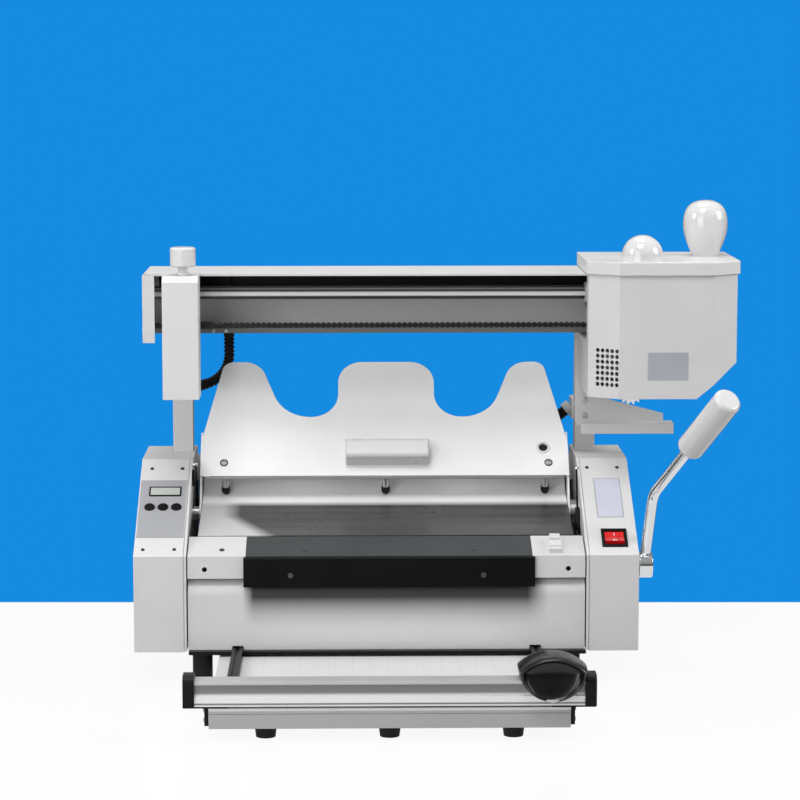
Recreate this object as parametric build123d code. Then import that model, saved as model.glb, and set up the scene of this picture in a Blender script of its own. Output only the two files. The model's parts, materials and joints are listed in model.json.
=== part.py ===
from build123d import *

import math
import os

# Hot melt binding machine, A4 desktop size, in millimetres.
# +X is the operator's right, +Y is the back, +Z is up.
# While it is built, X = 0 is the middle of the body, Y = 0 the front of the side covers and Z = 0 the ground.

# Clearances
seat_gap = 0.3
running_gap = 0.05
cover_gap = 0.5

# Body: two side plates, each with a hollow cover outside it
plate_inner_x = 229.5
plate_thickness = 2.8
cover_width = 57.0
cover_wall = 1.5
body_bottom_z = 38.0
cover_fold_z = 149.5
cover_slant_run = 155.0
cover_slant_rise = 88.5
body_depth = 262.0
plate_proud = 2.0

cover_inner_x = plate_inner_x + plate_thickness + cover_gap
cover_outer_x = cover_inner_x + cover_width
cover_top_z = cover_fold_z + cover_slant_rise
slant_angle = math.atan2(cover_slant_rise, cover_slant_run)
slant_length = math.hypot(cover_slant_run, cover_slant_rise)
panel_half_width = plate_inner_x - 1.5

# Front and rear panels, floor pan
sheet = 1.5
front_panel_y = 1.5
front_roll_radius = 18.0
front_panel_top_z = 121.5
front_panel_return = 1.5
rear_shelf_z = 205.0
rear_shelf_y = 209.0
rear_panel_half_width = plate_inner_x - 0.2
rear_ear_width = 16.0
rear_ear_top_z = 236.0
tie_bar_radius = 6.0
tie_bar_z = 62.0
tie_bar_ys = (128.0, 228.0)

# Feet under the body
foot_radius = 11.5
foot_flange_radius = 16.0
foot_flange_height = 5.0
foot_x = 212.5
foot_front_y = 19.0
foot_back_y = 240.0

# Clamp: a moving front jaw and a fixed rear jaw behind the clamp line
jaw_front_y = 0.5
jaw_back_y = 46.3
jaw_bottom_z = 123.5
jaw_front_z = 149.5
jaw_back_z = 164.0
jaw_wall = 2.0
jaw_half_width = panel_half_width
clamp_gap = 0.4
jaw_travel = 40.0
jaw_plate_half = 164.5
jaw_plate_offset = 3.0
jaw_plate_thickness = 1.2
jaw_bar_thickness = 5.0
jaw_bar_drop = 9.5
jaw_bar_half = 167.0
jaw_rod_radius = 7.0
jaw_rod_x = 196.0
jaw_rod_z = 104.0
jaw_sleeve_wall = 4.0
jaw_sleeve_front_y = 64.0
jaw_sleeve_length = 40.0
rod_carrier_length = 10.0
rod_carrier_width = 30.0
rod_carrier_front_y = 11.0
rod_carrier_back_y = 150.0
limit_switch_x = 194.5
limit_switch_width = 15.0
limit_switch_length = 32.0
limit_switch_middle_y = 20.5
rear_jaw_depth = 18.0
rear_jaw_height = 30.0
rear_jaw_half = 205.0

# White back sheet that rises from the rear jaw
sheet_gap_to_arms = 0.7
sheet_ramp_y = 150.0
sheet_ramp_z = 186.5
sheet_top_y = 207.0
sheet_top_z = 227.0

# Wave-edged cover table, hinged low in the side plates
table_pivot_y = 140.0
table_pivot_z = 176.0
table_foot_y = 150.0
table_foot_z = 218.5
table_lean = 50.0
table_length = 162.3
table_half_width = 221.0
table_thickness = 2.0
table_lip = 4.0
table_lip_half = 212.0
table_side_height = 46.0
table_corner_x = 195.0
table_wave_x = 2.5
table_outer_hump_x = 154.6
table_valley_outer_x = 124.2
table_valley_inner_x = 58.4
table_valley_height = 83.0
table_side_radius = 20.0
table_corner_radius = 14.0
table_shoulder_radius = 27.0
table_valley_inner_radius = 32.5
table_valley_flat = 1.7
table_centre_radius = 29.5
table_flank = math.atan2(table_length - table_valley_height, table_outer_hump_x - table_valley_outer_x)
table_valley_round = table_valley_outer_x - table_valley_inner_x - table_valley_inner_radius - table_valley_flat
table_valley_outer_radius = table_valley_round / math.tan(table_flank / 2)
table_arm_thickness = 2.0
table_pin_radius = 4.3
table_tip_radius = 5.0
table_tip_length = 5.0
table_pin_up_slope = 13.0
table_pin_rest_y = 168.0
table_pin_longest = 60.0
table_pin_x = 191.0
table_handle_length = 100.0
table_handle_width = 27.0
table_handle_thickness = 20.0
table_handle_height = 15.0
pivot_radius = 4.0
friction_disc_radius = 14.5

# Posts and the hooded beam over the clamp
post_width = 24.0
post_inner_x = plate_inner_x + plate_thickness + 0.2
post_wall = 2.0
post_bottom_z = 60.0
post_top_z = 452.0
beam_front_y = 105.0
beam_back_y = 215.0
beam_top_z = 464.5
beam_bottom_z = 386.0
beam_wall = 2.0
beam_lip = 2.6
beam_floor_depth = 27.0
beam_floor_lip = 6.0
beam_left_x = -280.0
beam_right_x = 400.0
end_plate_thickness = 2.0
end_plate_front_y = 82.0
end_flange_width = 12.0
guide_rod_radius = 8.0
guide_rod_y = 150.0
guide_rod_z = 438.5
duct_depth = 22.0
duct_height = 21.0

# Roller chain fixed along the beam
chain_pitch = 6.35
chain_roller_radius = 1.65
chain_inner_width = 3.3
chain_plate_thickness = 0.8
chain_plate_height = 6.0
chain_pin_radius = 1.15
chain_y = 110.0
chain_z = 404.0
chain_start_x = -206.0
chain_links = 94
chain_clevis = 8.0

# Column head box at the beam's left end, with its adjusting knob
head_left_x = -258.0
head_right_x = -216.4
head_front_y = 62.0
head_bottom_z = 322.0
head_top_z = 465.0
head_wall = 2.0
head_bevel = 7.0
knob_x = -234.6
knob_y = 83.5
knob_radius = 14.8
knob_height = 22.5
knob_stem_radius = 5.5
knob_stem_height = 9.5
knob_screw_radius = 4.0
knob_screw_length = 90.0
knob_nut_z = 400.0

# Glue pot, at its home place on the right
pot_left_x = 236.0
pot_right_x = 409.5
pot_front_y = 58.0
pot_chamfer_x = 34.0
pot_chamfer_y = 24.0
pot_back_y = 212.0
pot_bottom_z = 322.0
pot_wall = 2.0
pot_gap_to_beam = 2.0
pot_slope_run = 49.0
pot_slope_rise = 40.0
pot_travel = 440.0
lid_overhang = 2.7
lid_bottom_z = 466.0
lid_height = 15.0
lid_wall = 2.0
vent_columns = 5
vent_rows = 7
vent_radius = 2.45
vent_pitch_across = 6.4
vent_pitch_up = 6.6
vent_bottom_z = 338.0
dome_x = 298.5
dome_y = 84.0
dome_radius = 24.0
dome_skirt = 6.0
cap_spigot_radius = 16.0
cap_spigot_length = 14.0
cap_lift = 40.0
egg_x = 381.0
egg_y = 160.0
egg_height = 66.0
egg_radius = 26.3
egg_foot_radius = 15.0

# Glue drive: a sprocket rolls along the chain and turns the glue roller through three spur gears
sprocket_teeth = 16
drive_module = 2.0
drive_teeth = 16
idler_teeth = 15
drive_x = 290.0
drive_gear_front_y = 115.5
drive_gear_width = 6.0
gear_pin_radius = 4.0
roller_radius = 17.0
roller_front_y = 129.5
roller_shaft_radius = 5.0
tank_wall = 4.0
tank_front_y = 124.0
tank_top_z = 372.0
tank_left_x = 243.0
tank_right_x = 352.0
heater_radius = 5.0
carriage_half_depth = 20.0
carriage_bottom_z = 416.0
carriage_top_z = 456.0
carriage_left_x = 243.0
carriage_right_x = 384.0
bush_radius = 12.0
bush_proud = 6.0

# Drip tray under the pot, screwed to the right post
tray_left_x = 232.5
tray_right_x = 350.0
tray_depth = 26.0
tray_shelf_z = 275.0
tray_lip = 12.5
tray_plate_top_z = 307.0
tray_plate_end_x = 340.0
tray_plate_end_z = 284.0

# Ribbed conduits behind the posts
conduit_radius = 6.5
conduit_valley_radius = 5.3
conduit_bore_radius = 4.3
conduit_rib_pitch = 5.0
conduit_y = body_depth + 3.0
left_conduit_x = -190.0
left_conduit_drop = 34.0
left_conduit_bend = 38.0
left_conduit_turn = 72.0
right_conduit_x = 201.0
right_conduit_low_z = 216.0
right_conduit_rise = 30.0
right_conduit_bend = 34.0
right_conduit_slope = 38.0
gland_length = 9.0
gland_radius = 9.0
gland_size = 24.0

# Clamp lever on the right
lever_y = 22.0
lever_z = 134.0
lever_hub_radius = 14.7
lever_hub_width = 16.0
lever_rod_radius = 6.0
lever_shaft_radius = 7.0
lever_grip_radius = 15.6
lever_bend_radius = 24.0
lever_bend = (307.5, 22.0, 216.6)
lever_grip_foot = (340.0, -37.5, 277.0)
lever_grip_end = (375.5, -102.5, 343.0)
lever_tang_length = 20.0

# Controls
overlay_low = 33.6
overlay_high = 138.1
overlay_thickness = 0.6
display_centre_x = -259.0
display_width = 37.5
display_low = 108.2
display_high = 124.9
button_xs = (-276.0, -260.4, -244.8)
button_names = ("button_set", "button_plus", "button_minus")
button_up_slant = 87.9
button_radius = 6.0
button_travel = 1.5
button_proud = 1.8
board_depth = 9.0
switch_x = 263.5
switch_up_slant = 30.0
switch_width = 27.0
switch_length = 28.0
rocker_pivot_depth = 3.0
rocker_pin_radius = 1.5
rocker_tilt = 18.0
inlet_half_width = 15.0
inlet_x = post_inner_x + post_width + inlet_half_width
inlet_z = 80.0

# Paper trimmer that stands in front, its table running under the body
trimmer_half_width = 192.0
trimmer_front_y = -250.0
trimmer_back_y = 70.0
trimmer_bottom_z = 12.0
trimmer_top_z = 34.0
trimmer_wall = 2.0
trimmer_foot_radius = 12.0
trimmer_foot_x = 132.0
trimmer_foot_inset = 16.0
rail_half_width = 207.0
rail_front_y = -252.0
rail_depth = 24.0
rail_bottom_z = 36.5
rail_top_z = 63.5
end_block_width = 12.0
end_block_top_z = 69.5
end_bracket_width = 4.5
end_bracket_low_z = 15.0
guide_bar_x = 171.0
guide_bar_width = 12.0
guide_bar_height = 9.0
guide_slot_gap = 0.5
shuttle_x = 172.5
shuttle_length = 73.5
shuttle_travel = 340.0
shuttle_top_z = 90.5
shuttle_side_z = 76.0
shuttle_foot_z = 50.0
shuttle_bottom_z = 41.5
shuttle_foot_half = 24.5
shuttle_front_reach = 13.0
shuttle_back_reach = 14.0
shuttle_shoulder_radius = 6.0
shuttle_edge_radius = 4.0
shuttle_key_depth = 2.2
wheel_radius = 13.5
wheel_y = -221.5
wheel_gap = 0.4
wheel_pin_radius = 2.5
wheel_z = trimmer_top_z + wheel_gap + wheel_radius
groove_low_z = rail_bottom_z + 10.5
groove_high_z = rail_top_z - 4.0
strip_x = 183.0

# Screw heads
screw_head_radius = 3.0
screw_head_height = 1.4


def block(x_low, x_high, y_low, y_high, z_low, z_high):
    size = Box(x_high - x_low, y_high - y_low, z_high - z_low)
    middle = ((x_low + x_high) / 2, (y_low + y_high) / 2, (z_low + z_high) / 2)
    return Pos(*middle) * size


def rod_x(x_low, x_high, y, z, radius):
    middle = Pos((x_low + x_high) / 2, y, z)
    return middle * Rot(0, 90, 0) * Cylinder(radius, x_high - x_low)


def rod_y(x, y_low, y_high, z, radius):
    middle = Pos(x, (y_low + y_high) / 2, z)
    return middle * Rot(90, 0, 0) * Cylinder(radius, y_high - y_low)


def rod_z(x, y, z_low, z_high, radius):
    return Pos(x, y, (z_low + z_high) / 2) * Cylinder(radius, z_high - z_low)


def rod_between(start, end, radius):
    start = Vector(*start)
    end = Vector(*end)
    base = Plane(origin=start, z_dir=end - start)
    return extrude(base * Circle(radius), amount=(end - start).length)


def outline(points):
    return make_face(Polyline(*points, close=True))


def prism_x(points_yz, x_low, x_high):
    return extrude(Plane.YZ.offset(x_low) * outline(points_yz), amount=x_high - x_low)


def prism_y(points_xz, y_low, y_high):
    base = Plane(origin=(0, y_low, 0), x_dir=(1, 0, 0), z_dir=(0, -1, 0))
    return extrude(base * outline(points_xz), amount=-(y_high - y_low))


def prism_z(points_xy, z_low, z_high):
    return extrude(Plane.XY.offset(z_low) * outline(points_xy), amount=z_high - z_low)


def group(shapes):
    return Compound([solid for shape in shapes for solid in shape.solids()])


def mirrored(shape):
    return mirror(shape, about=Plane.YZ)


def slant_plane(x, up_slant, depth=0.0):
    """Plane on the covers' slanted face, its normal pointing out of the machine."""
    y = up_slant * math.cos(slant_angle) + depth * math.sin(slant_angle)
    z = cover_fold_z + up_slant * math.sin(slant_angle) - depth * math.cos(slant_angle)
    normal = (0, -math.sin(slant_angle), math.cos(slant_angle))
    return Plane(origin=(x, y, z), x_dir=(1, 0, 0), z_dir=normal)


def on_slant(x, up_slant, width, length, low, high):
    """Block on the slanted face: width along X, length up the slope, from low to high above it."""
    return extrude(slant_plane(x, up_slant, -low) * Rectangle(width, length), amount=high - low)


def slant_disc(x, up_slant, radius, low, high):
    return extrude(slant_plane(x, up_slant, -low) * Circle(radius), amount=high - low)


def cover_profile(inset):
    """Side view of a cover, drawn inwards by inset."""
    corner = inset * math.tan(slant_angle / 2)
    knee = inset * math.tan((math.pi / 2 - slant_angle) / 2)
    return [
        (inset, body_bottom_z + inset),
        (inset, cover_fold_z - knee),
        (cover_slant_run + corner, cover_top_z - inset),
        (body_depth - inset, cover_top_z - inset),
        (body_depth - inset, body_bottom_z + inset),
    ]


def make_side_plates():
    right = prism_x(cover_profile(-plate_proud / 2), plate_inner_x, plate_inner_x + plate_thickness)
    right -= block(0, 300, -20, body_depth + 20, 0, body_bottom_z + 1)
    right -= rod_x(plate_inner_x - 5, cover_inner_x, table_pivot_y, table_pivot_z, pivot_radius + running_gap)
    for y in tie_bar_ys:
        right -= rod_x(plate_inner_x - 5, cover_inner_x, y, tie_bar_z, tie_bar_radius - 2 + running_gap)
    left = mirrored(right)
    right -= rod_x(plate_inner_x - 5, cover_inner_x, lever_y, lever_z, lever_shaft_radius + running_gap)
    return group([left, right])


def post_window(grow):
    low = post_inner_x - grow
    high = post_inner_x + post_width + grow
    return block(low, high, beam_back_y - grow, beam_back_y + post_width + grow, 150, 300)


def make_right_cover():
    shell = prism_x(cover_profile(0), cover_inner_x, cover_outer_x)
    shell -= prism_x(cover_profile(cover_wall), cover_inner_x - 1, cover_outer_x - cover_wall)
    shell -= post_window(cover_gap)
    shell -= on_slant(switch_x, switch_up_slant, switch_width, switch_length, -5, 5)
    hole = lever_shaft_radius + 1
    shell -= rod_x(cover_outer_x - 5, cover_outer_x + 5, lever_y, lever_z, hole)
    shell -= block(inlet_x - 13.5, inlet_x + 13.5, body_depth - 5, body_depth + 5, inlet_z - 10, inlet_z + 10)
    return shell


def make_left_cover():
    shell = prism_x(cover_profile(0), cover_inner_x, cover_outer_x)
    shell -= prism_x(cover_profile(cover_wall), cover_inner_x - 1, cover_outer_x - cover_wall)
    shell -= post_window(cover_gap)
    shell = mirrored(shell)
    display_middle = (display_low + display_high) / 2
    display_length = display_high - display_low
    shell -= on_slant(display_centre_x, display_middle, display_width - 4, display_length - 4, -5, 5)
    for x in button_xs:
        shell -= slant_disc(x, button_up_slant, button_radius + seat_gap, -5, 5)
    return shell


def make_front_panel():
    low = body_bottom_z
    high = front_panel_top_z
    roll = front_roll_radius
    back = front_panel_y + roll + front_panel_return
    tilt = math.sqrt(0.5)
    outer_curve = ThreePointArc(
        (front_panel_y, high - roll),
        (front_panel_y + roll * (1 - tilt), high - roll * (1 - tilt)),
        (front_panel_y + roll, high),
    )
    inner_roll = roll - sheet
    inner_curve = ThreePointArc(
        (front_panel_y + roll, high - sheet),
        (front_panel_y + roll - inner_roll * tilt, high - roll + inner_roll * tilt),
        (front_panel_y + sheet, high - roll),
    )
    edges = Line((front_panel_y, low), (front_panel_y, high - roll)) + outer_curve
    edges += Polyline((front_panel_y + roll, high), (back, high), (back, high - sheet))
    edges += Line((back, high - sheet), (front_panel_y + roll, high - sheet)) + inner_curve
    foot = (front_panel_y + sheet, low)
    edges += Polyline((front_panel_y + sheet, high - roll), foot, (front_panel_y, low))
    face = Plane.YZ.offset(-panel_half_width) * make_face(edges)
    panel = extrude(face, amount=2 * panel_half_width)
    for side in (-1, 1):
        middle = side * guide_bar_x
        half = guide_bar_width / 2 + guide_slot_gap
        panel -= block(middle - half, middle + half, -5, 10, 0, trimmer_top_z + guide_bar_height + 1.5)
    return panel


def make_rear_panel():
    half = rear_panel_half_width
    wall = block(-half, half, body_depth - sheet, body_depth, body_bottom_z, rear_shelf_z)
    shelf = block(-half, half, rear_shelf_y, body_depth, rear_shelf_z - sheet, rear_shelf_z)
    panel = wall + shelf
    for low, high in ((-half, rear_ear_width - half), (half - rear_ear_width, half)):
        panel += block(low, high, rear_shelf_y, rear_shelf_y + sheet, rear_shelf_z - sheet, rear_ear_top_z)
    for row in range(4):
        for column in range(9):
            x = -80 + column * 20
            z = 90 + row * 12
            panel -= block(x - 7, x + 7, body_depth - 5, body_depth + 5, z - 2, z + 2)
    return panel


def make_floor_pan():
    front = front_panel_y + sheet + seat_gap
    back = body_depth - sheet - seat_gap
    pan = block(-panel_half_width, panel_half_width, front, back, body_bottom_z, body_bottom_z + sheet)
    slot_back = trimmer_back_y + 10
    for side in (-1, 1):
        middle = side * guide_bar_x
        half = guide_bar_width / 2 + guide_slot_gap
        pan -= block(middle - half, middle + half, 0, slot_back, 0, body_bottom_z + 10)
    return pan


def make_body_feet():
    feet = []
    flange_low = body_bottom_z - foot_flange_height
    for x in (-foot_x, foot_x):
        for y in (foot_front_y, foot_back_y):
            foot = rod_z(x, y, 0, flange_low, foot_radius)
            foot += rod_z(x, y, flange_low, body_bottom_z, foot_flange_radius)
            foot -= rod_z(x, y, -1, 8, 4)
            feet.append(foot)
    return feet


def make_rubber_feet():
    feet = make_body_feet()
    rows = (trimmer_front_y + trimmer_foot_inset, trimmer_back_y - trimmer_foot_inset)
    for y in rows:
        for x in (-trimmer_foot_x, 0, trimmer_foot_x):
            cone = Cone(trimmer_foot_radius - 1.5, trimmer_foot_radius, trimmer_bottom_z)
            foot = Pos(x, y, trimmer_bottom_z / 2) * cone
            feet.append(foot - rod_z(x, y, -1, 5, 4))
    return group(feet)


def make_frame_rods():
    """Two tie bars between the side plates and two rods that guide the front jaw."""
    rods = []
    neck = tie_bar_radius - 2
    outer = plate_inner_x + plate_thickness
    for y in tie_bar_ys:
        bar = rod_x(-plate_inner_x, plate_inner_x, y, tie_bar_z, tie_bar_radius)
        rods.append(bar + rod_x(-outer, outer, y, tie_bar_z, neck))
    back = rod_carrier_back_y + rod_carrier_length
    for x in (-jaw_rod_x, jaw_rod_x):
        rods.append(rod_y(x, rod_carrier_front_y, back, jaw_rod_z, jaw_rod_radius))
    return group(rods + make_rod_carriers())


def make_rod_carriers():
    carriers = []
    half = rod_carrier_width / 2
    for x in (-jaw_rod_x, jaw_rod_x):
        for y in (rod_carrier_front_y, rod_carrier_back_y):
            low = body_bottom_z + sheet
            post = block(x - half, x + half, y, y + rod_carrier_length, low, jaw_rod_z)
            post += rod_y(x, y, y + rod_carrier_length, jaw_rod_z, jaw_rod_radius + 4)
            post -= rod_y(x, y - 1, y + rod_carrier_length + 1, jaw_rod_z, jaw_rod_radius)
            side = guide_bar_x if x > 0 else -guide_bar_x
            relief = guide_bar_width / 2 + 1
            post -= block(side - relief, side + relief, y - 1, y + 20, 0, trimmer_top_z + guide_bar_height + 2)
            carriers.append(post)
    return carriers


sheet_half_width = table_half_width - table_arm_thickness - sheet_gap_to_arms
sheet_start = (jaw_back_y + clamp_gap + 1.0, jaw_back_z + sheet - 0.5)
sheet_slope = math.atan2(sheet_ramp_z - sheet_start[1], sheet_ramp_y - sheet_start[0])
sheet_chord = math.hypot(sheet_top_y - sheet_ramp_y, sheet_top_z - sheet_ramp_z)
sheet_chord_slope = math.atan2(sheet_top_z - sheet_ramp_z, sheet_top_y - sheet_ramp_y)
sheet_curve_radius = sheet_chord / (2 * math.sin(sheet_chord_slope - sheet_slope))
sheet_curve_y = sheet_ramp_y - sheet_curve_radius * math.sin(sheet_slope)
sheet_curve_z = sheet_ramp_z + sheet_curve_radius * math.cos(sheet_slope)


def make_back_sheet():
    start = sheet_start
    ramp = (sheet_ramp_y, sheet_ramp_z)
    top = (sheet_top_y, sheet_top_z)
    slope = sheet_slope
    rise = (math.cos(slope), math.sin(slope))
    upper = Line(start, ramp)
    bend = TangentArc(ramp, top, tangent=rise)
    middle = bend @ 0.5
    end_slope = bend % 1
    normal_mid = (bend % 0.5).rotate(Axis.Z, -90)
    normal_end = end_slope.rotate(Axis.Z, -90)
    low_ramp = (ramp[0] + sheet * math.sin(slope), ramp[1] - sheet * math.cos(slope))
    low_start = (start[0] + sheet * math.sin(slope), start[1] - sheet * math.cos(slope))
    low_middle = tuple(middle + normal_mid * sheet)[:2]
    low_top = tuple(Vector(*top) + normal_end * sheet)[:2]
    lower = ThreePointArc(low_ramp, low_middle, low_top)
    edges = upper + bend + Line(top, low_top) + lower + Polyline(low_ramp, low_start, start)
    face = Plane.YZ.offset(-sheet_half_width) * make_face(edges)
    skin = extrude(face, amount=2 * sheet_half_width)
    leg_high = low_top[1] + 0.2
    leg = block(-sheet_half_width, sheet_half_width, sheet_top_y, sheet_top_y + sheet, rear_shelf_z - 20, leg_high)
    return skin + leg


def make_rear_jaw():
    front = jaw_back_y + clamp_gap
    top = jaw_back_z - 0.8
    low = top - rear_jaw_height
    bar = block(-rear_jaw_half, rear_jaw_half, front, front + rear_jaw_depth, low, top)
    for side in (-1, 1):
        inner = side * rear_jaw_half
        outer = side * plate_inner_x
        ear = block(min(inner, outer), max(inner, outer), front + 8, front + rear_jaw_depth, low, low + 16)
        bar += ear
    return bar


def jaw_profile(inset):
    slope = math.atan2(jaw_back_z - jaw_front_z, jaw_back_y - jaw_front_y)
    knee = inset * math.tan((math.pi / 2 - slope) / 2)
    shoulder = inset / math.cos(slope)
    drop = inset * math.tan(slope)
    return [
        (jaw_front_y + inset, jaw_bottom_z + inset),
        (jaw_front_y + inset, jaw_front_z - knee),
        (jaw_back_y - inset, jaw_back_z - shoulder - drop),
        (jaw_back_y - inset, jaw_bottom_z + inset),
    ]


def jaw_top_plane(x, y, lift=0.0):
    slope = math.atan2(jaw_back_z - jaw_front_z, jaw_back_y - jaw_front_y)
    z = jaw_front_z + (y - jaw_front_y) * math.tan(slope)
    normal = (0, -math.sin(slope), math.cos(slope))
    return Plane(origin=Vector(x, y, z) + Vector(*normal) * lift, x_dir=(1, 0, 0), z_dir=normal)


def make_jaw_carriage():
    shell = prism_x(jaw_profile(0), -jaw_half_width, jaw_half_width)
    shell -= prism_x(jaw_profile(jaw_wall), -jaw_half_width + jaw_wall, jaw_half_width - jaw_wall)
    slope = math.atan2(jaw_back_z - jaw_front_z, jaw_back_y - jaw_front_y)
    length = (jaw_back_y - jaw_front_y) / math.cos(slope)
    middle_y = (jaw_back_y + jaw_front_y) / 2
    recess = jaw_top_plane(jaw_plate_offset, middle_y, -jaw_plate_thickness)
    shell -= extrude(recess * Rectangle(2 * jaw_plate_half, length + 6), amount=jaw_plate_thickness + 8)
    for x in (-208.5, 208.5):
        shell -= rod_y(x, jaw_front_y - 3, jaw_front_y + 3, 134, 2.9)
    sleeve_back = jaw_sleeve_front_y + jaw_sleeve_length
    radius = jaw_rod_radius + jaw_sleeve_wall
    for x in (-jaw_rod_x, jaw_rod_x):
        arm = block(x - radius, x + radius, jaw_back_y - 1, sleeve_back, jaw_bottom_z, jaw_bottom_z + 3)
        neck = block(x - radius, x + radius, jaw_sleeve_front_y, sleeve_back, jaw_rod_z, jaw_bottom_z + 1)
        sleeve = rod_y(x, jaw_sleeve_front_y, sleeve_back, jaw_rod_z, radius)
        shell += arm + neck + sleeve
        bore = jaw_rod_radius + running_gap
        shell -= rod_y(x, jaw_sleeve_front_y - 1, sleeve_back + 1, jaw_rod_z, bore)
    return shell


def make_jaw_plate():
    slope = math.atan2(jaw_back_z - jaw_front_z, jaw_back_y - jaw_front_y)
    length = (jaw_back_y - jaw_front_y) / math.cos(slope)
    middle_y = (jaw_back_y + jaw_front_y) / 2
    base = jaw_top_plane(jaw_plate_offset, middle_y, -jaw_plate_thickness)
    plate = extrude(base * Rectangle(2 * jaw_plate_half, length), amount=jaw_plate_thickness)
    plate = plate & block(-300, 300, jaw_front_y, jaw_back_y, 0, 300)
    return group([plate] + make_jaw_screws())


def make_jaw_bar():
    back = jaw_front_y
    low = jaw_bottom_z - jaw_bar_drop
    high = jaw_front_z - 1.0
    left = jaw_plate_offset - jaw_bar_half
    right = jaw_plate_offset + jaw_bar_half
    bar = block(left, right, back - jaw_bar_thickness, back, low, high)
    bar = fillet(bar.edges().filter_by(Axis.X).sort_by(Axis.Y)[:2], 2.0)
    return bar


def make_jaw_screws():
    screws = []
    y = jaw_front_y - jaw_bar_thickness
    for x in (-110.0, 111.0):
        head = rod_y(x, y - screw_head_height, y, 128.0, screw_head_radius)
        screws.append(head - rod_y(x, y - screw_head_height - 1, y - 0.5, 128.0, 1.4))
    for x in (-189.0, -94.0, 100.0):
        head = extrude(jaw_top_plane(x, 15.0) * Circle(screw_head_radius), amount=screw_head_height / 2)
        screws.append(head)
    return screws


def make_limit_switch():
    """Switch on the jaw's right end: a long foot with a taller head towards the clamp line."""
    middle = jaw_top_plane(limit_switch_x, limit_switch_middle_y)
    head_at = jaw_top_plane(limit_switch_x, limit_switch_middle_y + limit_switch_length / 3)
    groove_at = jaw_top_plane(limit_switch_x, limit_switch_middle_y - limit_switch_length / 4, 3.5)
    body = extrude(middle * Rectangle(limit_switch_width, limit_switch_length), amount=5.5)
    body += extrude(head_at * Rectangle(limit_switch_width - 3, limit_switch_length / 3), amount=8.5)
    body -= extrude(groove_at * Rectangle(limit_switch_width + 2, 2.0), amount=4.0)
    return body


def table_plane(x, up_slope, lift=0.0):
    lean = math.radians(table_lean)
    along = Vector(0, math.cos(lean), math.sin(lean))
    normal = Vector(0, -math.sin(lean), math.cos(lean))
    foot = Vector(x, table_foot_y, table_foot_z)
    return Plane(origin=foot + along * up_slope + normal * lift, x_dir=(1, 0, 0), z_dir=normal)


def table_corners(side):
    """Corners of one half of the table's outline, each with its rounding, from the side to the middle."""
    wave = side * table_wave_x
    return [
        (table_half_width, 0, 0),
        (table_half_width, table_side_height, table_side_radius),
        (table_corner_x, table_length, table_corner_radius),
        (table_outer_hump_x + wave, table_length, table_shoulder_radius),
        (table_valley_outer_x + wave, table_valley_height, table_valley_outer_radius),
        (table_valley_inner_x + wave, table_valley_height, table_valley_inner_radius),
        (table_valley_inner_x + wave, table_length, table_centre_radius),
    ]


def make_cover_table():
    right = [(x, y, radius) for x, y, radius in table_corners(1)]
    left = [(-x, y, radius) for x, y, radius in reversed(table_corners(-1))]
    face = outline([(x, y) for x, y, _ in right + left])
    for x, y, radius in right + left:
        if radius:
            at_corner = [v for v in face.vertices() if abs(v.X - x) < 0.01 and abs(v.Y - y) < 0.01]
            face = fillet(at_corner, radius)
    table = extrude(table_plane(0, 0, -table_thickness) * face, amount=table_thickness)
    lip = table_plane(0, table_thickness / 2, -table_lip)
    table += extrude(lip * Rectangle(2 * table_lip_half, table_thickness), amount=table_lip - table_thickness)
    table -= extrude(table_plane(191, 38.5, -5) * Circle(5.5), amount=10)
    return table


def make_table_handle():
    base = table_plane(3, table_handle_height + table_handle_width / 2)
    grip = extrude(base * Rectangle(table_handle_length, table_handle_width), amount=table_handle_thickness)
    outward = base.z_dir
    long_edges = grip.edges().filter_by(Axis.X)
    outer_edges = [edge for edge in long_edges if (edge.center() - base.origin).dot(outward) > 1]
    grip = fillet(outer_edges, 6.0)
    ends = grip.faces().filter_by(Axis.X)
    return fillet([edge for face in ends for edge in face.edges()], 2.0)


def make_table_arms():
    """Flanges at the table's ends that carry it on the two pivots."""
    foot = table_plane(0, 6, -table_thickness).origin
    high = table_plane(0, 62, -table_thickness).origin
    low_back = table_plane(0, 62, -20).origin
    points = [
        (foot.Y, foot.Z),
        (high.Y, high.Z),
        (low_back.Y, low_back.Z),
        (table_pivot_y + 9, table_pivot_z - 3),
        (table_pivot_y - 9, table_pivot_z - 3),
    ]
    inner = table_half_width - table_arm_thickness
    right = prism_x(points, inner, table_half_width)
    right += rod_x(inner, table_half_width, table_pivot_y, table_pivot_z, 11)
    right -= rod_x(inner - 5, table_half_width + 5, table_pivot_y, table_pivot_z, pivot_radius + running_gap)
    return group([right, mirrored(right)])


def make_pivot_pins():
    """Shouldered pivots fixed in the side plates; the right one carries a friction disc."""
    outer = plate_inner_x + plate_thickness
    inner = table_half_width - table_arm_thickness - 3
    right = rod_x(inner, outer, table_pivot_y, table_pivot_z, pivot_radius)
    disc = rod_x(table_half_width + seat_gap, plate_inner_x, table_pivot_y, table_pivot_z, friction_disc_radius)
    left_collar = rod_x(table_half_width + seat_gap, plate_inner_x, table_pivot_y, table_pivot_z, 8)
    return group([right + disc, mirrored(right + left_collar)])


def pin_rest(x):
    """Centre of a pin's round tip, which rests on the curve of the back sheet."""
    across = table_pin_rest_y - sheet_curve_y
    inside = sheet_curve_radius - table_tip_radius - seat_gap
    return Vector(x, table_pin_rest_y, sheet_curve_z - math.sqrt(inside ** 2 - across ** 2))


def pin_base(x):
    """Plane at a pin's tip that looks up along the pin to where it meets the table's back."""
    low = pin_rest(x)
    return Plane(origin=low, x_dir=(1, 0, 0), z_dir=table_plane(x, table_pin_up_slope).origin - low)


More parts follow.
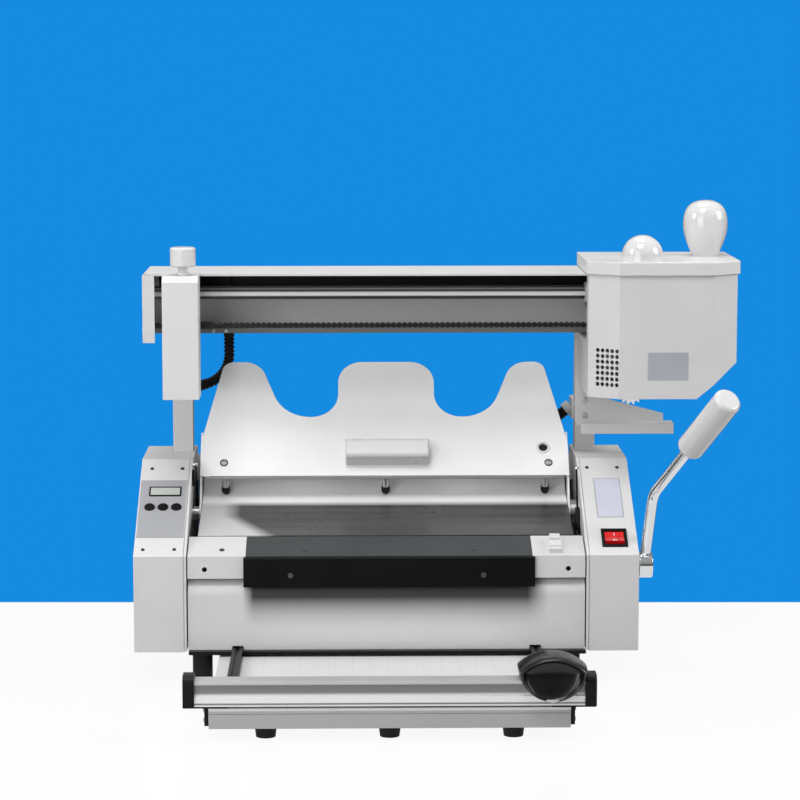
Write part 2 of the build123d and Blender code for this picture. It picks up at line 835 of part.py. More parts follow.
def make_table_pins():
    behind_table = extrude(table_plane(0, 0, -table_thickness) * Rectangle(1000, 1000), amount=-200)
    pins = []
    for x in (-table_pin_x, 1.0, table_pin_x + 2):
        pins.append(extrude(pin_base(x) * Circle(table_pin_radius), amount=table_pin_longest) & behind_table)
    return group(pins)


def make_pin_tips():
    tips = []
    for x in (-table_pin_x, 1.0, table_pin_x + 2):
        tip = extrude(pin_base(x) * Circle(table_tip_radius), amount=table_tip_length)
        tip += Pos(*pin_rest(x)) * Sphere(table_tip_radius)
        tips.append(tip - extrude(pin_base(x) * Circle(table_pin_radius), amount=table_tip_length + 1))
    return group(tips)


def make_posts():
    low = post_inner_x
    high = post_inner_x + post_width
    back = beam_back_y + post_width
    tube = block(low, high, beam_back_y, back, post_bottom_z, post_top_z)
    wall = post_wall
    tube -= block(low + wall, high - wall, beam_back_y + wall, back - wall, post_bottom_z - 1, post_top_z - wall)
    return group([mirrored(tube), tube])


def make_beam():
    front = beam_front_y
    back = beam_back_y
    top = beam_top_z
    low = beam_bottom_z
    wall = beam_wall
    points = [
        (front, top - beam_lip),
        (front, top),
        (back, top),
        (back, low),
        (back - beam_floor_depth, low),
        (back - beam_floor_depth, low + beam_floor_lip),
        (back - beam_floor_depth + wall, low + beam_floor_lip),
        (back - beam_floor_depth + wall, low + wall),
        (back - wall, low + wall),
        (back - wall, top - wall),
        (front + wall, top - wall),
        (front + wall, top - beam_lip),
    ]
    return prism_x(points, beam_left_x, beam_right_x - end_plate_thickness)


def make_beam_ends():
    left_inner = beam_left_x
    left_outer = beam_left_x - end_plate_thickness
    left = block(left_outer, left_inner, end_plate_front_y, beam_back_y, beam_bottom_z, beam_top_z)
    flange_right = beam_left_x + end_flange_width
    back = end_plate_front_y + end_plate_thickness
    left += block(left_outer, flange_right, end_plate_front_y, back, beam_bottom_z, beam_top_z)
    left += Pos(left_outer, 100, beam_bottom_z + 13) * Rot(0, -90, 0) * Cylinder(3, 3)
    right_inner = beam_right_x - end_plate_thickness
    right = block(right_inner, beam_right_x, beam_front_y, beam_back_y, beam_bottom_z, beam_top_z)
    return group([left, right])


def make_guide_rod():
    return rod_x(beam_left_x, beam_right_x - end_plate_thickness, guide_rod_y, guide_rod_z, guide_rod_radius)


def make_cable_duct():
    top = beam_top_z - beam_wall
    back = beam_back_y - beam_wall
    duct = block(beam_left_x + 10, beam_right_x - 20, back - duct_depth, back, top - duct_height, top)
    clamp = block(-214, -184, back - duct_depth - 8, back - duct_depth, top - duct_height + 1, top)
    clamp = fillet(clamp.edges().filter_by(Axis.Y), 3.0)
    return duct + clamp


def link_plate(x, y_low, y_high, radius):
    """Figure-of-eight chain plate between two pins one pitch apart, starting at x."""
    left = rod_y(x, y_low, y_high, chain_z, radius)
    right = rod_y(x + chain_pitch, y_low, y_high, chain_z, radius)
    waist = block(x, x + chain_pitch, y_low, y_high, chain_z - radius * 0.55, chain_z + radius * 0.55)
    return left + right + waist


def inner_link():
    half = chain_inner_width / 2
    radius = chain_plate_height / 2
    x = chain_start_x
    outer = half + chain_plate_thickness
    link = link_plate(x, chain_y - outer, chain_y - half, radius)
    link += link_plate(x, chain_y + half, chain_y + outer, radius)
    for pin_x in (x, x + chain_pitch):
        link += rod_y(pin_x, chain_y - outer, chain_y + outer, chain_z, chain_roller_radius)
    for pin_x in (x, x + chain_pitch):
        link -= rod_y(pin_x, chain_y - outer - 1, chain_y + outer + 1, chain_z, chain_pin_radius + running_gap)
    return link


def outer_link():
    inner_face = chain_inner_width / 2 + chain_plate_thickness + 0.1
    outer_face = inner_face + chain_plate_thickness
    radius = chain_plate_height / 2 - 0.3
    x = chain_start_x + chain_pitch
    link = link_plate(x, chain_y - outer_face, chain_y - inner_face, radius)
    link += link_plate(x, chain_y + inner_face, chain_y + outer_face, radius)
    for pin_x in (x, x + chain_pitch):
        link += rod_y(pin_x, chain_y - outer_face - 0.3, chain_y + outer_face + 0.3, chain_z, chain_pin_radius)
    return link


def make_chain():
    inner = inner_link()
    outer = outer_link()
    links = []
    for pair in range(chain_links // 2):
        shift = Pos(2 * pair * chain_pitch, 0, 0)
        links.append(shift * inner)
        if pair < chain_links // 2 - 1:
            links.append(shift * outer)
    return group(links + make_chain_anchors())


def make_chain_anchors():
    """A clevis at each end of the chain, drawn tight by a stud in the beam's end plate."""
    half = chain_clevis / 2
    slot = chain_inner_width / 2 + chain_plate_thickness + 0.2
    first = chain_start_x
    last = chain_start_x + (chain_links - 1) * chain_pitch
    anchors = []
    for pin_x, wall_x, side in ((first, beam_left_x, -1), (last, beam_right_x - end_plate_thickness, 1)):
        inner = pin_x - side * half
        outer = pin_x + side * (chain_clevis + 2)
        low, high = min(inner, outer), max(inner, outer)
        clevis = block(low, high, chain_y - half, chain_y + half, chain_z - half, chain_z + half)
        gap_end = pin_x + side * (half + 0.5)
        clevis -= block(min(inner - side, gap_end), max(inner - side, gap_end), chain_y - slot, chain_y + slot, 300, 500)
        clevis += rod_y(pin_x, chain_y - half, chain_y + half, chain_z, chain_pin_radius)
        stud_low, stud_high = min(outer, wall_x), max(outer, wall_x)
        clevis += rod_x(stud_low, stud_high, chain_y, chain_z, 2.5)
        anchors.append(clevis)
    return anchors


def make_column_head():
    back = beam_front_y
    shell = block(head_left_x, head_right_x, head_front_y, back, head_bottom_z, head_top_z)
    top_front = shell.edges().filter_by(Axis.X).group_by(Axis.Z)[-1].sort_by(Axis.Y)[0]
    shell = chamfer(top_front, head_bevel)
    wall = head_wall
    inner_top = head_top_z - head_bevel
    shell -= block(
        head_left_x + wall, head_right_x - wall, head_front_y + wall + 1, back - wall, head_bottom_z - 1, inner_top
    )
    shell -= rod_z(knob_x, knob_y, head_top_z - 10, head_top_z + 5, knob_screw_radius + running_gap)
    nut = block(head_left_x + wall, head_right_x - wall, knob_y - 9, knob_y + 9, knob_nut_z, knob_nut_z + 12)
    nut -= rod_z(knob_x, knob_y, knob_nut_z - 1, knob_nut_z + 20, knob_screw_radius + running_gap)
    return shell + nut


def make_adjusting_knob():
    stem_low = head_top_z + seat_gap
    knob_low = stem_low + knob_stem_height
    knob = rod_z(knob_x, knob_y, knob_low, knob_low + knob_height, knob_radius)
    knob = fillet(knob.edges().filter_by(GeomType.CIRCLE), 2.5)
    knob += rod_z(knob_x, knob_y, stem_low + 3, knob_low + 1, knob_stem_radius)
    knob += rod_z(knob_x, knob_y, stem_low, stem_low + 3, knob_stem_radius + 1.5)
    knob += rod_z(knob_x, knob_y, head_top_z - knob_screw_length, stem_low + 1, knob_screw_radius)
    return knob


def pot_plan(inset):
    """Plan of the pot with its two cut front corners, drawn inwards by inset."""
    lean = math.atan2(pot_chamfer_y, pot_chamfer_x)
    front_cut = inset * math.tan(lean / 2)
    side_cut = inset * math.tan((math.pi / 2 - lean) / 2)
    return [
        (pot_left_x + pot_chamfer_x + front_cut, pot_front_y + inset),
        (pot_right_x - pot_chamfer_x + 4 - front_cut, pot_front_y + inset),
        (pot_right_x - inset, pot_front_y + pot_chamfer_y + side_cut),
        (pot_right_x - inset, pot_back_y - inset),
        (pot_left_x + inset, pot_back_y - inset),
        (pot_left_x + inset, pot_front_y + pot_chamfer_y + side_cut),
    ]


def below_slope(inset):
    """Everything under the sloped cut at the pot's lower right, raised by inset."""
    run = pot_slope_run
    lean = math.atan2(pot_slope_rise, run)
    lift = inset / math.cos(lean)
    tall = pot_bottom_z + pot_slope_rise
    points = [
        (pot_right_x - run - 30, pot_bottom_z - 30 * math.tan(lean) + lift),
        (pot_right_x + 30, tall + 30 * math.tan(lean) + lift),
        (pot_right_x + 30, pot_bottom_z - 60),
        (pot_right_x - run - 30, pot_bottom_z - 60),
    ]
    return prism_y(points, pot_front_y - 20, pot_back_y + 20)


def make_pot_shell():
    inner_wall_y = beam_front_y - pot_gap_to_beam
    roof_z = beam_bottom_z - pot_gap_to_beam
    shell_top = lid_bottom_z + lid_height - lid_wall
    shell = prism_z(pot_plan(0), pot_bottom_z, shell_top)
    shell -= below_slope(0)
    void = prism_z(pot_plan(pot_wall), pot_bottom_z + pot_wall, shell_top + 5)
    void -= below_slope(pot_wall)
    void -= block(0, 500, inner_wall_y - pot_wall, 300, roof_z - pot_wall, 600)
    shell -= void
    shell -= block(0, 500, inner_wall_y, 300, roof_z, 600)
    gear_reach = drive_module * (drive_teeth / 2 + 1) + 1.5
    shell -= block(
        drive_x - gear_reach, drive_x + gear_reach, inner_wall_y + 0.1,
        drive_gear_front_y + drive_gear_width + 2, roof_z - 5, roof_z + 5,
    )
    side = roller_radius + 3
    opening_back = pot_back_y - pot_wall
    shell -= block(drive_x - side, drive_x + side, inner_wall_y, opening_back, pot_bottom_z - 1, pot_bottom_z + 5)
    chute_low = roof_z - 40
    shell -= block(328, 350, inner_wall_y - 5, inner_wall_y + 1, chute_low, roof_z - pot_wall)
    for column in range(vent_columns):
        for row in range(vent_rows):
            across = (column - (vent_columns - 1) / 2) * vent_pitch_across
            lean = math.atan2(pot_chamfer_y, pot_chamfer_x)
            x = pot_left_x + pot_chamfer_x * 0.62 + across * math.cos(lean)
            y = pot_front_y + pot_chamfer_y * 0.38 - across * math.sin(lean)
            z = vent_bottom_z + row * vent_pitch_up
            base = Plane(origin=(x, y, z), z_dir=(math.sin(lean), math.cos(lean), 0))
            shell -= extrude(base * Circle(vent_radius), amount=8, both=True)
    return shell + make_gear_pins()


def make_pot_cover():
    top = lid_bottom_z + lid_height
    cover = prism_z(pot_plan(-lid_overhang), lid_bottom_z, top)
    cover = fillet(cover.edges().group_by(Axis.Z)[-1], 1.0)
    cover -= prism_z(pot_plan(-seat_gap), lid_bottom_z - 5, top - lid_wall)
    cover -= rod_z(dome_x, dome_y, top - 10, top + 5, cap_spigot_radius + seat_gap)
    return cover


def make_filler_cap():
    base = lid_bottom_z + lid_height
    half = Polyline((0, 0), (dome_radius, 0), (dome_radius, dome_skirt))
    tilt = math.sqrt(0.5)
    arc = ThreePointArc(
        (dome_radius, dome_skirt),
        (dome_radius * tilt, dome_skirt + dome_radius * tilt),
        (0, dome_skirt + dome_radius),
    )
    edges = half + arc + Line((0, dome_skirt + dome_radius), (0, 0))
    dome = revolve(Plane.XZ * make_face(edges), Axis.Z)
    cap = Pos(dome_x, dome_y, base) * dome
    cap += rod_z(dome_x, dome_y, base - cap_spigot_length, base + 1, cap_spigot_radius)
    cap -= rod_z(dome_x, dome_y, base - cap_spigot_length - 1, base + 4, cap_spigot_radius - 2)
    return cap


def make_carriage_handle():
    base = lid_bottom_z + lid_height
    side = Spline(
        (egg_foot_radius, 0),
        (egg_radius, egg_height * 0.56),
        (0, egg_height),
        tangents=[(0.42, 0.9), (-1, 0)],
    )
    edges = Line((0, 0), (egg_foot_radius, 0)) + side + Line((0, egg_height), (0, 0))
    egg = revolve(Plane.XZ * make_face(edges), Axis.Z)
    return Pos(egg_x, egg_y, base) * egg


def gear(teeth, module, width, x, y_front, z, phase, backlash=0.35):
    """Straight-flanked spur gear whose axis runs along Y, with one tooth at the phase angle."""
    pitch_radius = module * teeth / 2
    root = pitch_radius - 1.15 * module
    tip = pitch_radius + 0.85 * module
    half_pitch_angle = (math.pi * module / 2 - backlash) / 2 / pitch_radius
    half_root = half_pitch_angle + 0.46 * module / pitch_radius
    half_tip = half_pitch_angle - 0.38 * module / pitch_radius
    points = []
    for tooth in range(teeth):
        middle = phase + tooth * 2 * math.pi / teeth
        for angle, radius in ((-half_root, root), (-half_tip, tip), (half_tip, tip), (half_root, root)):
            points.append((radius * math.cos(middle + angle), radius * math.sin(middle + angle)))
    base = Plane(origin=(x, y_front, z), x_dir=(1, 0, 0), z_dir=(0, -1, 0))
    return extrude(base * outline(points), amount=-width)


sprocket_pitch_radius = chain_pitch / (2 * math.sin(math.pi / sprocket_teeth))
sprocket_roll_radius = chain_pitch * sprocket_teeth / (2 * math.pi)
sprocket_z = chain_z - sprocket_roll_radius
gear_spacing = drive_module * (drive_teeth + idler_teeth) / 2
idler_z = sprocket_z - gear_spacing
roller_z = idler_z - gear_spacing


def make_chain_sprocket():
    """Sprocket and gear in one piece, running under the chain on a stub pin."""
    body = gear(drive_teeth, drive_module, drive_gear_width, drive_x, drive_gear_front_y, sprocket_z, -math.pi / 2)
    root = sprocket_roll_radius - chain_roller_radius - 0.6
    tip = sprocket_roll_radius + 1.1
    pin_offset = (drive_x - chain_start_x) / chain_pitch
    lag = (pin_offset - math.floor(pin_offset)) * 2 * math.pi / sprocket_teeth
    points = []
    step = 2 * math.pi / sprocket_teeth
    half_tip = 0.10 * step
    half_root = 0.19 * step
    for tooth in range(sprocket_teeth):
        middle = math.pi / 2 + step / 2 + lag + tooth * step
        for angle, radius in ((-half_root, root), (-half_tip, tip), (half_tip, tip), (half_root, root)):
            points.append((radius * math.cos(middle + angle), radius * math.sin(middle + angle)))
    front = chain_y - chain_inner_width / 2 + 0.5
    width = chain_inner_width - 1.0
    base = Plane(origin=(drive_x, front, sprocket_z), x_dir=(1, 0, 0), z_dir=(0, -1, 0))
    body += extrude(base * outline(points), amount=-width)
    body += rod_y(drive_x, front, drive_gear_front_y + 1, sprocket_z, 9)
    back = drive_gear_front_y + drive_gear_width
    body -= rod_y(drive_x, front - 1, back + 1, sprocket_z, gear_pin_radius + running_gap)
    return body


def make_idler_gear():
    phase = math.pi / 2 + math.pi / idler_teeth
    wheel = gear(idler_teeth, drive_module, drive_gear_width, drive_x, drive_gear_front_y, idler_z, phase)
    back = drive_gear_front_y + drive_gear_width
    return wheel - rod_y(drive_x, drive_gear_front_y - 1, back + 1, idler_z, gear_pin_radius + running_gap)


def make_gear_pins():
    """Stub pins on the pot's inner wall that carry the sprocket and the middle gear."""
    inner_wall_y = beam_front_y - pot_gap_to_beam
    back = drive_gear_front_y + drive_gear_width + 1
    pin = rod_y(drive_x, inner_wall_y, back, sprocket_z, gear_pin_radius)
    sprocket_front = chain_y - chain_inner_width / 2 + 0.5
    pin += rod_y(drive_x, inner_wall_y, sprocket_front - seat_gap, sprocket_z, gear_pin_radius + 2)
    pin += rod_y(drive_x, inner_wall_y, back, idler_z, gear_pin_radius)
    return pin + rod_y(drive_x, inner_wall_y, drive_gear_front_y - seat_gap, idler_z, gear_pin_radius + 2)


def make_glue_roller():
    back = pot_back_y - pot_wall - tank_wall - 1.5
    roller = rod_y(drive_x, roller_front_y, back, roller_z, roller_radius)
    shaft_back = pot_back_y - pot_wall - 0.5
    roller += rod_y(drive_x, drive_gear_front_y, shaft_back, roller_z, roller_shaft_radius)
    phase = math.pi / 2 + math.pi / drive_teeth
    wheel = gear(drive_teeth, drive_module, drive_gear_width, drive_x, drive_gear_front_y, roller_z, phase)
    gear_back = drive_gear_front_y + drive_gear_width
    wheel -= rod_y(drive_x, drive_gear_front_y - 1, gear_back + 1, roller_z, roller_shaft_radius)
    return group([roller, wheel])


def make_glue_tank():
    back = pot_back_y - pot_wall
    low = pot_bottom_z + pot_wall
    wall = tank_wall
    tank = block(tank_left_x, tank_right_x, tank_front_y, back, low, tank_top_z)
    chute_front = beam_front_y - pot_gap_to_beam
    tank += block(328, tank_right_x, chute_front, tank_front_y + 1, low + 20, tank_top_z)
    tank -= block(tank_left_x + wall, tank_right_x - wall, tank_front_y + wall, back - wall, low + wall, 600)
    tank -= block(328 + wall, tank_right_x - wall, chute_front - 1, tank_front_y + wall + 1, low + 24, 600)
    side = roller_radius + 0.6
    roller_back = back - wall + 1
    tank -= block(drive_x - side, drive_x + side, roller_front_y - 1.2, roller_back - 1, low - 1, low + wall + 1)
    tank -= rod_y(drive_x, roller_front_y - 1.2, back - wall, roller_z, roller_radius + 0.6)
    tank -= rod_y(drive_x, tank_front_y - 1, back + 1, roller_z, roller_shaft_radius + running_gap)
    for x in (tank_left_x + 14, tank_right_x - 14):
        tank += block(x - 9, x + 9, tank_front_y + wall - 1, back - wall + 1, low + wall - 1, low + wall + 16)
        tank -= rod_y(x, tank_front_y - 1, back - wall - 8, low + wall + 8, heater_radius + running_gap)
    return tank


def make_heaters():
    back = pot_back_y - pot_wall
    low = pot_bottom_z + pot_wall
    z = low + tank_wall + 8
    heaters = []
    for x in (tank_left_x + 14, tank_right_x - 14):
        heaters.append(rod_y(x, tank_front_y - 4, back - tank_wall - 8.2, z, heater_radius))
    return group(heaters)


def make_carriage_block():
    y_low = guide_rod_y - carriage_half_depth
    y_high = guide_rod_y + carriage_half_depth
    block_body = block(carriage_left_x, carriage_right_x, y_low, y_high, carriage_bottom_z, carriage_top_z)
    front = beam_front_y - pot_gap_to_beam
    for x_low, x_high in ((carriage_left_x, carriage_left_x + 9), (330, carriage_right_x)):
        block_body += block(x_low, x_high, front, y_low + 1, carriage_bottom_z + 1, carriage_top_z)
    shoe_back = beam_back_y - beam_wall - seat_gap
    block_body += block(carriage_left_x, carriage_right_x, y_high - 1, shoe_back, carriage_bottom_z, carriage_bottom_z + 14)
    block_body -= rod_x(carriage_left_x - 1, carriage_right_x + 1, guide_rod_y, guide_rod_z, bush_radius)
    return block_body


def make_rod_bushes():
    bushes = []
    length = 42.0
    for low in (carriage_left_x - bush_proud, carriage_right_x - length):
        bush = rod_x(low, low + length, guide_rod_y, guide_rod_z, bush_radius)
        bore = guide_rod_radius + running_gap
        bushes.append(bush - rod_x(low - 1, low + length + 1, guide_rod_y, guide_rod_z, bore))
    return group(bushes)


def make_drip_tray():
    plate_y = beam_back_y - sheet
    points = [
        (tray_left_x, tray_shelf_z - sheet),
        (tray_left_x, tray_plate_top_z),
        (tray_left_x + 20, tray_plate_top_z),
        (tray_plate_end_x, tray_plate_end_z),
        (tray_plate_end_x, tray_shelf_z - sheet),
    ]
    tray = prism_y(points, plate_y, beam_back_y)
    front = beam_back_y - tray_depth
    tray += block(tray_left_x, tray_right_x, front, beam_back_y, tray_shelf_z - sheet, tray_shelf_z)
    tray += block(tray_left_x + 5, tray_right_x, front, front + sheet, tray_shelf_z - tray_lip, tray_shelf_z)
    return tray


def make_frame_screws():
    screws = []
    for x in (-277.0, -241.0):
        screws.append(slant_disc(x, 160.5, screw_head_radius, 0, screw_head_height / 2))
        screws.append(slant_disc(x - 2.5, 12.3, screw_head_radius, 0, screw_head_height / 2))
    for x in (241.0, 277.0):
        screws.append(slant_disc(x, 160.5, screw_head_radius, 0, screw_head_height / 2))
    post_middle = post_inner_x + post_width / 2
    tray_face = beam_back_y - sheet
    for z in (tray_plate_top_z - 7, tray_plate_top_z - 25):
        screws.append(rod_y(post_middle, tray_face - 2, tray_face, z, 3.6))
    for z in (end_bracket_low_z + 4, trimmer_top_z - 4):
        y = rail_front_y + rail_depth / 2
        low = trimmer_half_width + end_bracket_width
        head = rod_x(low, low + 1.6, y, z, 2.4)
        screws += [head, mirrored(head)]
    floor_front = beam_back_y - beam_floor_depth
    for x in (-205.0, -190.0):
        screws.append(rod_y(x, floor_front - 1.2, floor_front, beam_bottom_z + 3, 2.2))
    return group(screws)


def conduit_point(route, distance):
    """Place and direction, in the XZ plane, along a straight end, a bend and another straight end."""
    x, z, heading, first, radius, turn, _ = route
    arc = radius * abs(turn)
    run = min(distance, first)
    x += math.cos(heading) * run
    z += math.sin(heading) * run
    if distance > first:
        swept = min(distance - first, arc) / arc * turn
        side = radius if turn > 0 else -radius
        x += side * (math.sin(heading + swept) - math.sin(heading))
        z -= side * (math.cos(heading + swept) - math.cos(heading))
        heading += swept
    if distance > first + arc:
        rest = distance - first - arc
        x += math.cos(heading) * rest
        z += math.sin(heading) * rest
    return x, z, heading


def conduit_length(route):
    _, _, _, first, radius, turn, second = route
    return first + radius * abs(turn) + second


def conduit_ring(route, distance, radius):
    x, z, heading = conduit_point(route, distance)
    plane = Plane(origin=(x, conduit_y, z), x_dir=(0, 1, 0), z_dir=(math.cos(heading), 0, math.sin(heading)))
    return plane * Circle(radius)


def make_conduit(route):
    """Ribbed hose with a plain cuff one diameter long at each end."""
    total = conduit_length(route)
    cuff = 2 * conduit_radius
    count = round((total - 2 * cuff) / conduit_rib_pitch)
    pitch = (total - 2 * cuff) / count
    stations = [(0.0, conduit_radius), (cuff - 0.6, conduit_radius), (cuff - 0.3, conduit_valley_radius)]
    for rib in range(count):
        low = cuff + rib * pitch
        stations.append((low + 0.15 * pitch, conduit_valley_radius))
        stations.append((low + 0.30 * pitch, conduit_radius))
        stations.append((low + 0.75 * pitch, conduit_radius))
        stations.append((low + 0.90 * pitch, conduit_valley_radius))
    stations.append((total - cuff + 0.3, conduit_valley_radius))
    stations.append((total - cuff + 0.6, conduit_radius))
    stations.append((total, conduit_radius))
    outer = [conduit_ring(route, distance, radius) for distance, radius in stations]
    inner = [conduit_ring(route, distance, conduit_bore_radius) for distance, _ in stations]
    return loft(outer, ruled=True) - loft(inner, ruled=True)


def left_route():
    """From the beam's back straight down, then round towards the left post."""
    turn = -math.radians(left_conduit_turn)
    cuff = 2 * conduit_radius
    return (left_conduit_x, beam_bottom_z, -math.pi / 2, left_conduit_drop, left_conduit_bend, turn, cuff)


def right_route():
    """From the rear panel's top straight up, then over towards the right post."""
    turn = -math.radians(90 - right_conduit_slope)
    cuff = 2 * conduit_radius
    return (right_conduit_x, right_conduit_low_z, math.pi / 2, right_conduit_rise, right_conduit_bend, turn, cuff)


def make_conduits():
    return group([make_conduit(left_route()), make_conduit(right_route())])


def make_end_gland(route, side):
    """Gland nut at the route's far end, let into a box on the back of a post."""
    x, z, heading = conduit_point(route, conduit_length(route))
    start = (x, conduit_y, z)
    far = (x + gland_length * math.cos(heading), conduit_y, z + gland_length * math.sin(heading))
    post_back = beam_back_y + post_width
    box_inner = abs(far[0]) - 1
    box_outer = post_inner_x + post_width
    low = min(side * box_inner, side * box_outer)
    high = max(side * box_inner, side * box_outer)
    half = gland_size / 2
    box = block(low, high, post_back, conduit_y + half, far[2] - half, far[2] + half)
    box += rod_between(start, far, gland_radius)
    return box - rod_between(start, far, conduit_bore_radius)


def make_conduit_boxes():
    """Junction boxes that hold the conduits' ends: on the beam, on both posts and on the rear panel."""
    half = gland_size / 2
    back = conduit_y + half
    x = left_conduit_x
    beam_box = block(x - half, x + half, beam_back_y, back, beam_bottom_z, beam_bottom_z + 28)
    beam_box -= rod_z(x, conduit_y, beam_bottom_z - 1, beam_bottom_z + 20, conduit_bore_radius)
    x = right_conduit_x
    low = right_conduit_low_z
    panel_box = block(x - half, x + half, body_depth, back, low - 34, low)
    panel_box -= rod_z(x, conduit_y, low - 20, low + 1, conduit_bore_radius)
    return group([beam_box, panel_box, make_end_gland(left_route(), -1), make_end_gland(right_route(), 1)])


def make_clamp_shaft():
    outer = cover_outer_x + 1.0 + lever_hub_width - 3
    shaft = rod_x(plate_inner_x + 0.3, outer, lever_y, lever_z, lever_shaft_radius)
    crank_x = cover_inner_x + 6
    crank = block(crank_x, crank_x + 6, lever_y - 5, lever_y + 5, lever_z - 30, lever_z)
    crank += rod_x(crank_x, crank_x + 6, lever_y, lever_z, lever_shaft_radius + 4)
    crank += rod_x(crank_x, crank_x + 6, lever_y, lever_z - 30, 6)
    crank -= rod_x(crank_x - 1, crank_x + 7, lever_y, lever_z - 30, 2.5)
    collar = rod_x(cover_outer_x - cover_wall - 6, cover_outer_x - cover_wall - 1, lever_y, lever_z, lever_shaft_radius + 3)
    return shaft + crank + collar


def make_clamp_lever():
    hub_low = cover_outer_x + 1.0
    hub_high = hub_low + lever_hub_width
    hub = rod_x(hub_low, hub_high, lever_y, lever_z, lever_hub_radius)
    hub = fillet(hub.edges().filter_by(GeomType.CIRCLE), 1.2)
    foot = ((hub_low + hub_high) / 2, lever_y, lever_z + lever_hub_radius - 4)
    path = FilletPolyline(foot, lever_bend, lever_grip_foot, radius=lever_bend_radius)
    arm = sweep(Plane(origin=path @ 0, z_dir=path % 0) * Circle(lever_rod_radius), path)
    direction = (Vector(*lever_grip_end) - Vector(*lever_grip_foot)).normalized()
    tang_end = Vector(*lever_grip_foot) + direction * (lever_tang_length - 0.5)
    arm += rod_between(lever_grip_foot, tuple(tang_end), lever_rod_radius - 1)
    lever = hub + arm
    lever -= rod_x(hub_low - 1, hub_high - 3, lever_y, lever_z, lever_shaft_radius)
    return group([lever, make_clamp_shaft()])


def make_lever_grip():
    """Round grip with well rounded ends, pushed onto the rod's tang."""
    foot = Vector(*lever_grip_foot)
    end = Vector(*lever_grip_end)
    direction = (end - foot).normalized()
    length = (end - foot).length
    grip = extrude(Plane(origin=foot, z_dir=direction) * Circle(lever_grip_radius), amount=length)
    circles = grip.edges().filter_by(GeomType.CIRCLE)
    far_end = [edge for edge in circles if (edge.arc_center - foot).length > length / 2]
    grip = fillet(far_end, lever_grip_radius * 0.32)
    circles = grip.edges().filter_by(GeomType.CIRCLE)
    near_end = [edge for edge in circles if (edge.arc_center - foot).length < 1]
    grip = fillet(near_end, lever_grip_radius * 0.45)
    bore_end = foot + direction * lever_tang_length
    return grip - rod_between(tuple(foot), tuple(bore_end), lever_rod_radius - 1)


def make_control_overlay():
    middle = (overlay_low + overlay_high) / 2
    x = -(cover_inner_x + cover_outer_x) / 2
    overlay = on_slant(x, middle, cover_width - 3, overlay_high - overlay_low, 0, overlay_thickness)
    display_middle = (display_low + display_high) / 2
    overlay -= on_slant(display_centre_x, display_middle, display_width - 4, display_high - display_low - 4, -1, 2)
    for button_x in button_xs:
        overlay -= slant_disc(button_x, button_up_slant, button_radius + seat_gap, -1, 2)
    return overlay


def make_display():
    middle = (display_low + display_high) / 2
    low = overlay_thickness
    window = on_slant(display_centre_x, middle, display_width, display_high - display_low, low, low + 0.8)
    return window + on_slant(display_centre_x, middle, display_width - 5, display_high - display_low - 5, -4, low)


def make_button(x):
    travel_room = button_travel + 0.4
    cap = slant_disc(x, button_up_slant, button_radius, -3.5, overlay_thickness + button_proud)
    rim = cap.edges().filter_by(GeomType.CIRCLE).sort_by(Axis.Z)[-1]
    cap = fillet(rim, 0.8)
    cap += slant_disc(x, button_up_slant, button_radius + 1.5, -3.5, -cover_wall - 0.1)
    return cap + slant_disc(x, button_up_slant, 1.8, -board_depth + 1.2 + travel_room, -3)


def make_control_board():
    middle = 98.0
    x = -(cover_inner_x + cover_outer_x) / 2 - 1
    board = on_slant(x, middle, cover_width - 10, 76.0, -board_depth - 1.6, -board_depth)
    for button_x in button_xs:
        board += slant_disc(button_x, button_up_slant, 2.6, -board_depth - 0.1, -board_depth + 1.2)
    for stand_x in (x - 20, x + 20):
        for up in (middle - 32, middle + 32):
            board += slant_disc(stand_x, up, 2.5, -board_depth - 0.1, -cover_wall)
    return board


def make_switch_bezel():
    bezel = on_slant(switch_x, switch_up_slant, switch_width + 2.5, switch_length + 3.5, 0, 1.6)
    bezel += on_slant(switch_x, switch_up_slant, switch_width - 0.4, switch_length - 0.4, -16, 0.5)
    bezel -= on_slant(switch_x, switch_up_slant, switch_width - 4, switch_length - 4, -13, 5)
    pivot = slant_plane(switch_x, switch_up_slant, rocker_pivot_depth).origin
    reach = switch_width / 2 - 1
    return bezel - rod_x(switch_x - reach, switch_x + reach, pivot.Y, pivot.Z, rocker_pin_radius + running_gap)


def make_rocker():
    """Rocker whose two faces meet at the middle, resting with its upper end pressed in."""
    pivot = slant_plane(switch_x, switch_up_slant, rocker_pivot_depth).origin
    half_length = (switch_length - 8.4) / 2
    pressed = rocker_pivot_depth + 1.4
    crown = rocker_pivot_depth + 1.1
    raised = crown + half_length * math.tan(math.radians(rocker_tilt) + math.atan((pressed - crown) / half_length))
    points = [
        (-half_length, 0),
        (-half_length, raised),
        (0, crown),
        (half_length, pressed),
        (half_length, 0),
        (0, -6.5),
    ]
    width = switch_width - 5
    along = slant_plane(0, 0).y_dir
    side = Plane(origin=pivot - Vector(width / 2, 0, 0), x_dir=along, z_dir=(1, 0, 0))
    rocker = extrude(side * outline(points), amount=width)
    reach = switch_width / 2 - 1.3
    return rocker + rod_x(switch_x - reach, switch_x + reach, pivot.Y, pivot.Z, rocker_pin_radius)


def make_power_inlet():
    outer = block(inlet_x - inlet_half_width, inlet_x + inlet_half_width, body_depth, body_depth + 2, inlet_z - 12, inlet_z + 12)
    body = block(inlet_x - 13.2, inlet_x + 13.2, body_depth - 22, body_depth + 1, inlet_z - 9.7, inlet_z + 9.7)
    inlet = outer + body
    inlet -= block(inlet_x - 11.5, inlet_x + 11.5, body_depth - 16, body_depth + 5, inlet_z - 8, inlet_z + 8)
    for pin_x, pin_z in ((inlet_x - 7, inlet_z - 2), (inlet_x + 7, inlet_z - 2), (inlet_x, inlet_z + 2)):
        inlet += block(pin_x - 1, pin_x + 1, body_depth - 17, body_depth - 3, pin_z - 2, pin_z + 2)
    return inlet


